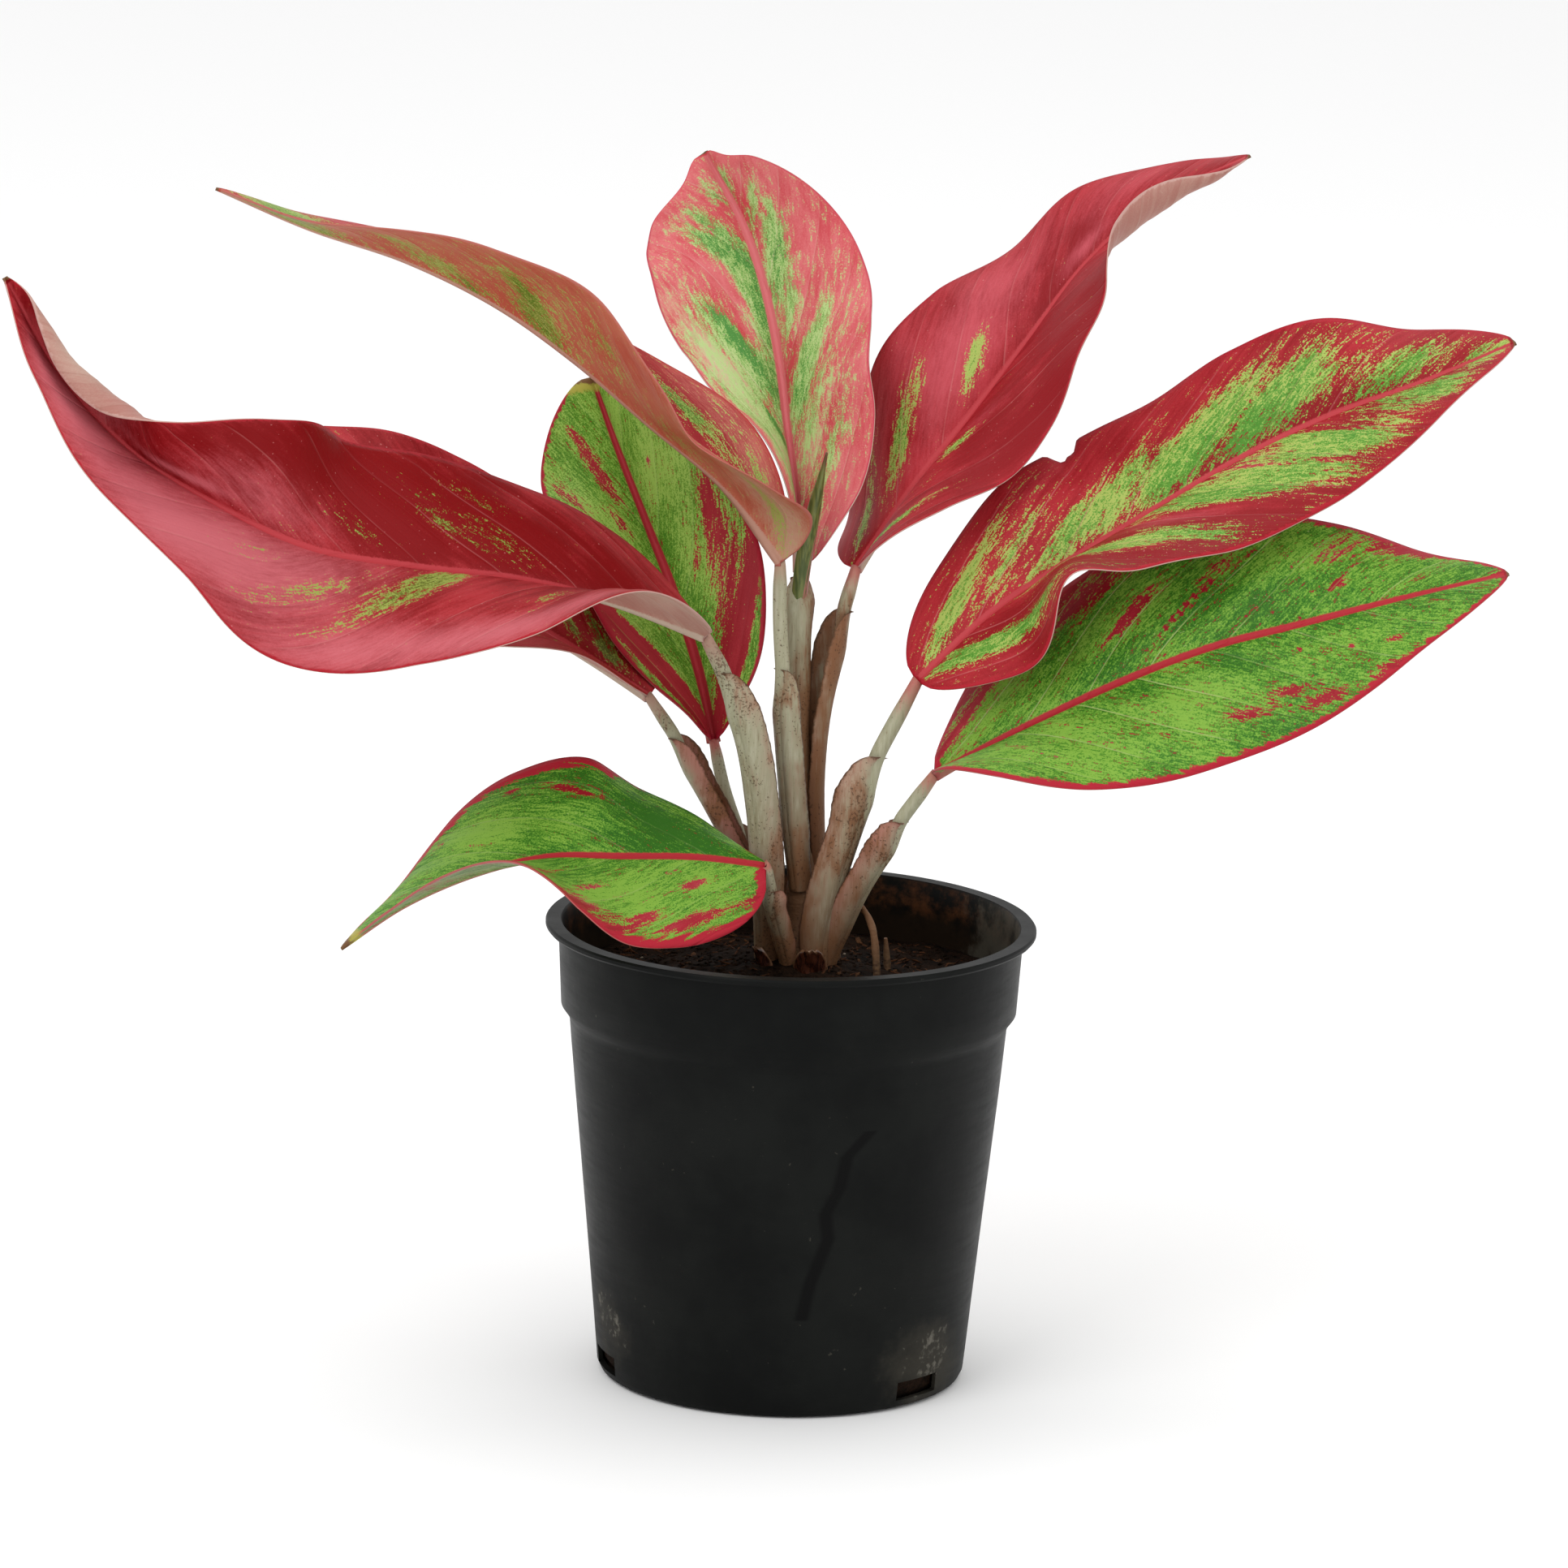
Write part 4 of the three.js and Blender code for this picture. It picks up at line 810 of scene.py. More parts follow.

# %% [markdown]
# ## Leaf colours
# Nine colours are enough for a leaf: a deep, a middling and a pale one where it is red (the pale one
# is the colour of a painted sheen, and on the pink leaf it is also its cream), a dark, a plain and a
# bright green, and those of the midrib, the margin and the side veins. The lower face has its own set,
# greyer and paler, because the colour shows through from above. Numbers are linear light, as Blender
# counts it, so they look low for their brightness.

# %% Leaf colours
PALETTES = {
    "red": dict(
        deep=(0.24, 0.004, 0.008), mid=(0.41, 0.022, 0.031), pale=(0.55, 0.09, 0.115),
        shade=(0.06, 0.22, 0.018), green=(0.13, 0.31, 0.04), bright=(0.36, 0.45, 0.10),
        rib=(0.46, 0.045, 0.055), margin=(0.38, 0.010, 0.022), vein=(0.58, 0.2, 0.19)),
    "crimson": dict(
        deep=(0.22, 0.003, 0.005), mid=(0.43, 0.030, 0.038), pale=(0.57, 0.135, 0.16),
        shade=(0.07, 0.09, 0.010), green=(0.17, 0.21, 0.03), bright=(0.29, 0.36, 0.07),
        rib=(0.46, 0.045, 0.055), margin=(0.40, 0.012, 0.022), vein=(0.58, 0.2, 0.19)),
    "pink": dict(
        deep=(0.52, 0.055, 0.07), mid=(0.63, 0.165, 0.17), pale=(0.52, 0.52, 0.30),
        shade=(0.07, 0.24, 0.045), green=(0.24, 0.42, 0.11), bright=(0.41, 0.54, 0.21),
        rib=(0.62, 0.16, 0.17), margin=(0.52, 0.06, 0.09), vein=(0.62, 0.42, 0.34)),
    "green": dict(
        deep=(0.27, 0.006, 0.014), mid=(0.38, 0.018, 0.033), pale=(0.45, 0.09, 0.1),
        shade=(0.026, 0.13, 0.007), green=(0.085, 0.25, 0.018), bright=(0.20, 0.385, 0.045),
        rib=(0.40, 0.02, 0.03), margin=(0.40, 0.012, 0.028), vein=(0.33, 0.42, 0.14)),
    "lime": dict(
        deep=(0.27, 0.008, 0.016), mid=(0.38, 0.025, 0.035), pale=(0.45, 0.09, 0.1),
        shade=(0.06, 0.19, 0.012), green=(0.15, 0.31, 0.035), bright=(0.29, 0.45, 0.08),
        rib=(0.40, 0.03, 0.04), margin=(0.36, 0.012, 0.028), vein=(0.36, 0.46, 0.15)),
    "salmon": dict(
        deep=(0.26, 0.01, 0.014), mid=(0.42, 0.035, 0.038), pale=(0.52, 0.17, 0.13),
        shade=(0.06, 0.16, 0.012), green=(0.20, 0.30, 0.05), bright=(0.33, 0.42, 0.1),
        rib=(0.5, 0.1, 0.09), margin=(0.46, 0.05, 0.05), vein=(0.5, 0.2, 0.15)),
}
UNDER = {
    "red": dict(
        deep=(0.37, 0.16, 0.13), mid=(0.45, 0.26, 0.21), pale=(0.49, 0.38, 0.30),
        shade=(0.24, 0.22, 0.13), green=(0.36, 0.31, 0.21), bright=(0.42, 0.38, 0.27),
        rib=(0.5, 0.38, 0.30), margin=(0.50, 0.30, 0.26), vein=(0.48, 0.34, 0.27)),
    "pink": dict(
        deep=(0.46, 0.15, 0.13), mid=(0.52, 0.25, 0.2), pale=(0.54, 0.42, 0.31),
        shade=(0.18, 0.24, 0.1), green=(0.30, 0.34, 0.16), bright=(0.40, 0.43, 0.25),
        rib=(0.55, 0.34, 0.28), margin=(0.58, 0.45, 0.36), vein=(0.53, 0.38, 0.3)),
    "green": dict(
        deep=(0.28, 0.07, 0.06), mid=(0.36, 0.11, 0.08), pale=(0.44, 0.26, 0.18),
        shade=(0.08, 0.15, 0.03), green=(0.16, 0.25, 0.06), bright=(0.26, 0.34, 0.12),
        rib=(0.40, 0.16, 0.12), margin=(0.40, 0.10, 0.09), vein=(0.3, 0.33, 0.14)),
    "salmon": dict(
        deep=(0.40, 0.075, 0.042), mid=(0.46, 0.14, 0.08), pale=(0.49, 0.29, 0.19),
        shade=(0.08, 0.16, 0.012), green=(0.22, 0.26, 0.04), bright=(0.34, 0.37, 0.09),
        rib=(0.48, 0.26, 0.19), margin=(0.44, 0.13, 0.1), vein=(0.46, 0.2, 0.12)),
}
UNDER["lime"] = UNDER["green"]
UNDER["crimson"] = UNDER["red"]
YELLOWING = (0.38, 0.34, 0.06)
DRIED = (0.16, 0.075, 0.03)
print("palettes:", ", ".join(PALETTES))

# %% [markdown]
# ## What the leaf paint reads
# Each blade could wear a painted picture, but a recipe needs no picture and stays sharp from nearby.
# The material reads the numbers kept on the blade, and adds noises: some stretched along the side
# veins, for streaks with ragged ends, some even, for clouds and for the grain of single cells.

# %% What the leaf paint reads
KEPT_NUMBERS = ("along", "across", "veins", "rim", "rib", "green", "pale", "dark", "old")
PLAIN_GRAIN = (0.25, 0.8, 0.4)


class LeafNumbers:
    """The numbers kept on the blade, and noises that run with its side veins."""

    def __init__(self, paint, look, seed):
        for key in KEPT_NUMBERS:
            setattr(self, key, paint.attribute(key))
        flat = paint.vector(self.along, self.across, seed * 3.1)
        coarse, middling, squeeze = look.get("grain", PLAIN_GRAIN)
        with_veins = paint.vector(self.veins, paint.product(self.across, squeeze), seed * 7.3)
        clumps = paint.vector(self.veins, paint.product(self.across, squeeze + 0.3), seed * 5.7)
        self.streak = paint.noise(with_veins, coarse, 3, 0.6)
        self.blotch = paint.noise(clumps, middling, 2)
        self.cell = paint.noise(flat, 1.9, 2, 0.65)
        self.cloud = paint.noise(flat, 0.04, 2)
        self.speck = paint.noise(flat, 1.1, 0)
        # between rises from one side vein to the next. The paint darkens with it, as painted shade on one
        # side of each sunken side vein.
        self.between = paint.number("FRACT", paint.number("DIVIDE", self.veins, VEIN_SPACING))
        self.near_vein = paint.number("PINGPONG", self.veins, VEIN_SPACING / 2)
        self.near_fine_vein = paint.number("PINGPONG", self.veins, VEIN_SPACING / 8)


print("numbers kept on a blade:", ", ".join(KEPT_NUMBERS))

# %% [markdown]
# ## Leaf patches
# Where the table's green and the noises together pass a threshold, the leaf is green, and elsewhere it
# is red. A narrow threshold gives the crisp flecks of the right leaf, a wide one the blurred patches
# of the pink leaf. Both colours then get their lighter and darker places in the same way, and the red
# also gets a painted sheen where the table's pale is high.

# %% Leaf patches
PLAIN_MOTTLE = 0.6
PLAIN_SOFTNESS = 0.12


def patched_colour(paint, look, colours, n):
    """Red and green in patches, each with its lighter and darker places."""
    # n.between paints shade: red and green grow darker towards each next side vein, darkest just before it
    # and lightest just after it.
    red_tone = paint.total((n.cloud, 1.0), (n.streak, 0.9), (n.cell, 0.5), (n.dark, -0.8),
                           (n.between, -0.15), -0.6)
    red = paint.lay(colours["deep"], red_tone, 0.1, 0.85, colours["mid"])
    mottle = look.get("mottle", PLAIN_MOTTLE)
    # Painted sheen: a reflection of the sky painted into the red in the palette's pale colour, which on
    # the pink leaf is partly its own cream.
    painted_sheen = paint.total((n.pale, 0.9), (n.cloud, 0.5), (n.streak, 0.4 * mottle), (n.blotch, 0.6 * mottle),
                        (n.cell, 0.3 * mottle), -0.37 - 0.65 * mottle)
    red = paint.lay(red, painted_sheen, 0.0, 0.9, colours["pale"])
    green_tone = paint.total((n.blotch, 3.4), (n.cell, 4.2), (n.cloud, 2.0), (n.pale, 0.6), (n.dark, -0.9),
                             (n.between, -0.3), -4.55)
    green = paint.lay(colours["green"], green_tone, 0.0, 0.7, colours["bright"])
    green = paint.lay(green, green_tone, 0.0, -0.7, colours["shade"])
    greenness = paint.total((n.streak, 2.8), (n.blotch, 2.8), (n.cell, 3.2), n.green, -4.4)
    soft = look.get("soft", PLAIN_SOFTNESS)
    return paint.lay(red, greenness, 0.5 - soft, 0.5 + soft, green)


print("most blurred patches:", max(LOOKS, key=lambda name: LOOKS[name].get("soft", PLAIN_SOFTNESS)))

# %% [markdown]
# ## Leaf lines and finish
# The midrib, the margin and the side veins are drawn from their distances in millimetres, so they keep
# their width on every leaf. Side veins are sunk into the upper face and stand out on the lower one,
# which a light bump shows. Old tips turn yellow, then brown.

# %% Leaf lines and finish
UNDER_BAND = 0.8


def drawn_lines(paint, look, colours, n, body, under):
    """Side veins, pale specks, the midrib and the red margin, laid over the patches."""
    line = paint.product(paint.step(n.near_vein, 0.6, 0.15), paint.step(n.rim, 0, 6),
                         paint.step(n.cloud, 0.35, 0.65, 0.25, 1.0), look["vein"])
    body = paint.blend(line, body, colours["vein"])
    body = paint.lay(body, n.speck, 0.80, 0.84, colours["vein"], 0.5)
    midrib = paint.total(n.rib, (n.cell, -0.8), 0.4)
    body = paint.lay(body, midrib, 0.3, -0.3, colours["rib"])
    band = UNDER_BAND if under and look["palette"] not in ("green", "lime") else look["band"]
    border = paint.total(n.rim, (n.streak, -2.4 * band), (n.cell, -1.2 * band), 1.8 * band)
    return paint.lay(body, border, 0.3, -0.3, colours["margin"])


def leaf_material(name, look, colours, seed, under):
    paint = Paint(name, specular=0.16)
    n = LeafNumbers(paint, look, seed)
    body = patched_colour(paint, look, colours, n)
    body = drawn_lines(paint, look, colours, n, body, under)
    age = paint.total(n.old, (n.streak, 0.5), (n.cell, 0.3), -0.4)
    body = paint.lay(body, age, 0.1, 0.35, YELLOWING if "old" in look else colours["deep"])
    body = paint.lay(body, age, 0.55, 0.7, DRIED)
    vein_rise = 1 if under else -1
    height = paint.total(
        (n.cell, 0.35), (n.blotch, 0.25), (paint.step(n.near_vein, 1.4, 0.0), 0.8 * vein_rise),
        (paint.step(n.near_fine_vein, 0.9, 0.0), 0.25 * vein_rise))
    roughness = paint.total((n.cloud, 0.16), (n.cell, 0.12), 0.36)
    return paint.finish(body, roughness, height, strength=0.35, distance=0.0004)


print("widths of the red margins, in mm:", sorted(look["band"] for look in LOOKS.values()))

# %% [markdown]
# ## The nine leaves are made
# Each blade gets two materials, one for each face, because its lower face is so much paler. SLOTS
# gives the kind of finish that the packed model names for each leaf.

# %% Make the leaves
SLOTS = {"upper_left": "leaf_mixed", "centre_back": "leaf_pink", "upper_right": "leaf_red",
         "right": "leaf_red", "lower_right": "leaf_green", "left": "leaf_red",
         "left_back": "leaf_mixed", "back_left": "leaf_green", "front_low": "leaf_green"}
for seed, name in enumerate(LEAVES):
    look = LOOKS[name]
    upper = leaf_material(f"{name}_upper", look, PALETTES[look["palette"]], seed, under=False)
    under = leaf_material(f"{name}_under", look, UNDER[look["palette"]], seed, under=True)
    finish_piece(make_blade(name, upper, under), SLOTS[name], "blade_" + name)

# %% [markdown]
# ## The line of a stalk
# A stalk is two things in one: a round rod, which carries the blade, and below it a sheath, which is
# a thin wing on each side of the rod that once wrapped the next leaf. Both follow the same line. A
# curve with a bevel would turn as it likes, so the table says to which side each sheath is open, and
# every ring of points is turned that way.

# %% Line of a stalk
JOINT_OVERLAP = 0.3


def stalk_line(leaf):
    foot = np.array(leaf["midrib"][0], float)
    toward = unit(np.array(leaf["midrib"][1], float) - foot)
    return leaf["stalk"] + [(foot + toward * JOINT_OVERLAP).tolist()], toward


def stalk_frames(leaf, t):
    points, toward = stalk_line(leaf)
    path = curve_through(points, t)
    along = direction_along(points, t)
    along[t >= 0.999] = toward
    open_side = np.array(leaf["open"], float)
    up = unit(open_side - (along @ open_side)[:, None] * along)
    return path, up, np.cross(along, up)


def stalk_radii(leaf, t):
    """The sheath's radius, the rod's radius, and how far the sheath has closed on the rod."""
    wide, bare = leaf["radii"]
    closing = smoothstep(t, leaf["sheath"] - 0.12, leaf["sheath"] + 0.04)
    swell = mix(0.8, 1, smoothstep(t, 0, leaf["sheath"] * 0.4))
    rod = mix(bare, bare * 0.86, t) * (1 - 0.2 * smoothstep(t, 0.9, 1))
    return mix(wide * swell, rod, closing), rod, closing


def place_section(frames, sideways, upward):
    """Points from their places across each ring: the arrays are rings by points."""
    path, up, across = frames
    return path[:, None] + across[:, None] * sideways[..., None] + up[:, None] * upward[..., None]


for name, leaf in LEAVES.items():
    print(f"stalk {name}: {path_length(stalk_line(leaf)[0]):.0f} mm long")

# %% [markdown]
# ## The rod
# The rod is nearly round, a little flat on its open side, with five faint ribs. It reaches a little
# way into the foot of its blade, so that no light shows between them.

# %% Rod
ROD_SIDES, ROD_RINGS = 18, 70


def make_rod(leaf):
    t = np.linspace(0, 1, ROD_RINGS)
    outer, rod, _ = stalk_radii(leaf, t)
    turn = np.arange(ROD_SIDES) / ROD_SIDES * 2 * np.pi
    ribbed = 1 + 0.03 * np.cos(turn * 5)[None, :]
    sideways = rod[:, None] * ribbed * np.sin(turn)[None, :]
    flat_top = np.where(np.cos(turn) < 0, 0.86, 1.0)[None, :]
    upward = -rod[:, None] * ribbed * np.cos(turn)[None, :] * flat_top - (outer - rod)[:, None]
    points = place_section(stalk_frames(leaf, t), sideways, upward)
    return points, np.broadcast_to(t[:, None], sideways.shape), np.zeros(sideways.shape)


print("points on a rod:", ROD_SIDES * ROD_RINGS)

# %% [markdown]
# ## The sheath
# A tube that is cut open would have straight margins. Here each ring is an arc, worked out for itself:
# it wraps most of the rod, flares into a small torn ear, closes on the rod near the top, and its margin
# is ragged and thinner than its back.

# %% Sheath
EARS = {"right": 2.6, "lower_right": 2.0, "upper_right": 2.2, "left_back": 1.5, "back_left": 1.2,
        "front_low": 0.9, "upper_left": 0.7, "centre_back": 0.6, "left": 0.8}
SHEATH_RINGS, WING_STEPS = 110, 16
LEAST_WRAP, FULL_WRAP = 60, 124
RAGGED = ((2, 29, 1), (1.2, 113, 2), (1.2, 211, 1))


def make_sheath(leaf, ear, seed):
    """A wing on each side of the rod. Its back and its top end lie inside the rod, so it grows out."""
    u = np.linspace(0, 1, SHEATH_RINGS)
    t = u * (leaf["sheath"] + 0.02)
    outer, _, closing = stalk_radii(leaf, t)
    place = np.linspace(-1, 1, 2 * WING_STEPS + 1)
    wing = np.abs(place)[None, :]
    begin = mix(0.1, 0.5, closing)[:, None]
    stands_out = smoothstep(wing, begin, begin + 0.3)
    flare = ear * smoothstep(u, 0.72, 0.9) * (1 - 0.5 * smoothstep(u, 0.94, 1))
    curl = 0.35 * wing ** 6 * (1 + 0.4 * np.sin(u * 23 + seed))[:, None]
    out_r = outer[:, None] - 0.5 + 0.75 * stands_out + flare[:, None] * wing ** 3 + curl
    in_r = out_r - mix(1.2, 0.4, wing ** 1.3)
    rounded = np.sqrt(np.clip(1 - np.clip((u - 0.93) / 0.07, 0, 1) ** 2, 0, 1))
    ragged = sum(height * np.sin(u * often + shift * seed) for height, often, shift in RAGGED)
    half = mix(LEAST_WRAP, FULL_WRAP + ragged, rounded)
    turn = np.radians(half[:, None] * place[None, :])
    rings_x = np.concatenate([out_r * np.sin(turn), (in_r * np.sin(turn))[:, ::-1]], 1)
    rings_y = np.concatenate([-out_r * np.cos(turn), (-in_r * np.cos(turn))[:, ::-1]], 1)
    points = place_section(stalk_frames(leaf, t), rings_x, rings_y)
    torn = np.maximum(wing, smoothstep(u, 0.9, 1)[:, None] * smoothstep(wing, 0.45, 0.6))
    return points, np.broadcast_to(t[:, None], rings_x.shape), np.concatenate([torn, torn[:, ::-1]], 1)


print("points on a sheath:", 2 * SHEATH_RINGS * (2 * WING_STEPS + 1))

# %% [markdown]
# ## Stalk finish
# Fresh stalks are cream with a green cast, flushed pink on the wings of the sheath. Fine fibres run up
# them, dark specks sit where the skin was bruised, and the torn edges and the oldest sheaths are
# brown, as is every stalk near the soil. A noise on Object coordinates that are squeezed along Z is
# drawn out into fibres, which spares the stalks a map of their own.

# %% Stalk material
STALK_AGE = {"upper_right": 0.4, "centre_back": 0.25, "right": 0.12, "left_back": 0.12, "upper_left": 0.1,
             "left": -0.1}
STALK_FLUSH = {"left": 0.35, "left_back": 1.0, "right": 0.6, "lower_right": 0.8, "front_low": 0.8,
               "upper_right": 0.6, "back_left": 0.7}
JOINT_COLOURS = {"red": (0.42, 0.10, 0.09), "crimson": (0.40, 0.22, 0.17), "pink": (0.55, 0.2, 0.18),
                 "green": (0.40, 0.12, 0.09), "lime": (0.40, 0.07, 0.07), "salmon": (0.42, 0.27, 0.19)}
STALK_SHIFT = 0.013
FOOT_TAN, CREAM_GREEN = (0.22, 0.15, 0.09), (0.34, 0.33, 0.22)
PALE_FIBRE, DARK_FIBRE = (0.45, 0.43, 0.32), (0.17, 0.115, 0.06)
STALK_PINK, SHEATH_BROWN = (0.40, 0.15, 0.12), (0.19, 0.078, 0.03)
SOIL_STAIN, BRUISE, TORN_EDGE = (0.15, 0.075, 0.036), (0.07, 0.033, 0.016), (0.09, 0.042, 0.02)


def sheath_colour(paint, place, age, flush, climb, wing):
    """The colour of sheaths and stalks, from fibres, clouds and flecks."""
    fibre = paint.noise(paint.scaled(place, 0.08), 1000, 4, 0.65)
    cloud = paint.noise(paint.scaled(place, 0.35), 130, 3, 0.6)
    stain = paint.noise(paint.scaled(place, 0.5), 75, 3, 0.65)
    fleck = paint.noise(place, 1300, 2)
    height = paint.add("SeparateXYZ", place).outputs["Z"]
    pink = paint.total((wing, 0.8 * flush), (stain, 0.5), (cloud, 0.5), (fibre, 0.3), -0.75)
    brown = paint.total((stain, 1.8), (cloud, 0.6), (fibre, 0.9), (climb, -0.35), (wing, 0.15), age - 1.42)
    bruise = paint.total((fleck, 1.0), (stain, 0.6), (cloud, 0.3), -0.47)
    colour = paint.lay(FOOT_TAN, climb, 0.0, 1.0, CREAM_GREEN)
    colour = paint.lay(colour, fibre, 0.42, 0.7, PALE_FIBRE, 0.6)
    colour = paint.lay(colour, fibre, 0.42, 0.28, DARK_FIBRE, 0.6)
    colour = paint.lay(colour, pink, 0.0, 0.6, STALK_PINK, 0.9)
    colour = paint.lay(colour, brown, 0.0, 0.5, SHEATH_BROWN, 0.9)
    colour = paint.lay(colour, height, 0.175, 0.133, SOIL_STAIN, 0.6)
    colour = paint.lay(colour, bruise, 0.60, 0.70, BRUISE, 0.7)
    return colour, fibre, cloud, fleck


def stalk_material(name, seed):
    paint = Paint(f"{name}_stalk", specular=0.2)
    place = paint.add("Mapping", paint.place(), (0, seed * STALK_SHIFT, 0)).outputs[0]
    climb, wing = paint.attribute("climb"), paint.attribute("wing")
    colour, fibre, cloud, fleck = sheath_colour(
        paint, place, STALK_AGE.get(name, 0.05), STALK_FLUSH.get(name, 0.3), climb, wing)
    joint = paint.total((paint.attribute("top"), 1.0), (fibre, 0.1), -0.05)
    colour = paint.lay(colour, joint, 0.9, 1.0, JOINT_COLOURS[LOOKS[name]["palette"]], 0.85)
    torn = paint.total((wing, 1.0), (fleck, 0.12), -0.06)
    colour = paint.lay(colour, torn, 0.93, 1.0, TORN_EDGE, 0.8)
    height = paint.total((fibre, 0.7), (cloud, 0.3))
    return paint.finish(colour, paint.total((cloud, 0.2), 0.44), height, strength=0.5, distance=0.0004)


print("oldest sheath:", max(STALK_AGE, key=STALK_AGE.get))

# %% [markdown]
# ## The nine stalks are made
# Rod and sheath are two closed skins in one mesh, because they are one living thing. Each point keeps
# how far up it lies and how near to a torn margin.

# %% Make the stalks
def make_stalk(name, material):
    leaf = LEAVES[name]
    rod, rod_t, rod_wing = make_rod(leaf)
    sheath, sheath_t, sheath_wing = make_sheath(leaf, EARS[name], list(LEAVES).index(name))
    faces = ring_faces(rod.shape[0], rod.shape[1])
    faces += ring_faces(sheath.shape[0], sheath.shape[1], offset=rod.shape[0] * rod.shape[1])
    points = np.concatenate([rod.reshape(-1, 3), sheath.reshape(-1, 3)])
    piece = make_object("petiole_" + name, points, faces)
    make_outward(piece)
    store(piece, climb=np.concatenate([rod_t.ravel(), sheath_t.ravel()]) / leaf["sheath"],
          wing=np.concatenate([rod_wing.ravel(), sheath_wing.ravel()]),
          top=np.concatenate([rod_t.ravel(), 0 * sheath_t.ravel()]))
    piece.data.materials.append(material)
    return piece


for seed, name in enumerate(LEAVES):
    finish_piece(make_stalk(name, stalk_material(name, seed)), "stalk", "stalk_" + name)

# %% [markdown]
# ## The rolled young leaf
# The youngest leaf is still a scroll. A plain cone would do from afar, but the seam is what tells a
# rolled leaf from a thorn. So its section is a spiral that steps in where the outer margin lies over
# the inner one, and the seam climbs round the roll.

# %% Rolled leaf
SPEAR_POINTS = [[-0.6, 9, 216], [-0.6, 9.5, 233], [0.6, 8, 251], [3.6, 5, 269], [7, 2, 287]]
SPEAR_RADII = [2, 2.2, 2.6, 2.1, 0.4]
SPEAR_SIDES, SPEAR_RINGS = 28, 80
SEAM_TURN = 0.35
SEAM_STEP = 0.22
SPEAR_DARK, SPEAR_GREEN, SPEAR_PALE = (0.06, 0.085, 0.02), (0.15, 0.17, 0.045), (0.14, 0.17, 0.06)
SPEAR_PINK, SPEAR_FOOT, SPEAR_TIP = (0.34, 0.12, 0.10), (0.045, 0.025, 0.014), (0.12, 0.05, 0.02)


def make_spear(material):
    t = np.linspace(0, 1, SPEAR_RINGS)
    path = curve_through(SPEAR_POINTS, t)
    along = direction_along(SPEAR_POINTS, t)
    across = unit(np.cross(np.array([0.1, 1, 0.2]), along))
    third = np.cross(along, across)
    radius = curve_through(SPEAR_RADII, t, free_ends=False)
    around = np.arange(SPEAR_SIDES) / SPEAR_SIDES
    turn = 2 * np.pi * (around[None, :] + SEAM_TURN * t[:, None] - 0.28)
    r = radius[:, None] * (1.02 - SEAM_STEP * around[None, :] ** 2)
    points = path[:, None] + across[:, None] * (r * np.cos(turn))[..., None]
    points = points + third[:, None] * (r * np.sin(turn))[..., None]
    piece = make_object("rolled_leaf", points.reshape(-1, 3), ring_faces(SPEAR_RINGS, SPEAR_SIDES))
    make_outward(piece)
    store(piece, climb=np.broadcast_to(t[:, None], r.shape),
          around=np.broadcast_to(around[None, :], r.shape))
    piece.data.materials.append(material)
    return piece


def spear_material():
    paint = Paint("rolled_leaf", specular=0.35)
    fibre = paint.noise(paint.scaled(paint.place(), 0.1), 1100, 3)
    around, climb = paint.attribute("around"), paint.attribute("climb")
    colour = paint.lay(SPEAR_DARK, fibre, 0.35, 0.65, SPEAR_GREEN)
    stripe = paint.total(around, (fibre, 0.25), -0.12)
    pink = paint.product(paint.step(stripe, 0.0, 0.06), paint.step(stripe, 0.3, 0.2))
    colour = paint.blend(pink, colour, SPEAR_PINK)
    colour = paint.lay(colour, climb, 0.35, 0.0, SPEAR_PALE)
    colour = paint.lay(colour, climb, 0.16, 0.06, SPEAR_FOOT)
    colour = paint.lay(colour, climb, 0.9, 1.0, SPEAR_TIP)
    return paint.finish(colour, 0.42, fibre, strength=0.4, distance=0.0003)


finish_piece(make_spear(spear_material()), "leaf_green", "rolled_young_leaf")

# %% [markdown]
# ## Rules kept as Geometry Nodes
# The pot is a profile turned round an axis, roots are tubes along lines, and crumbs are one small
# shape strewn many times. Each is a rule with a few sizes, so each is a tree of Geometry Nodes with
# named inputs. The tree runs once, and what it makes is kept as a plain mesh.

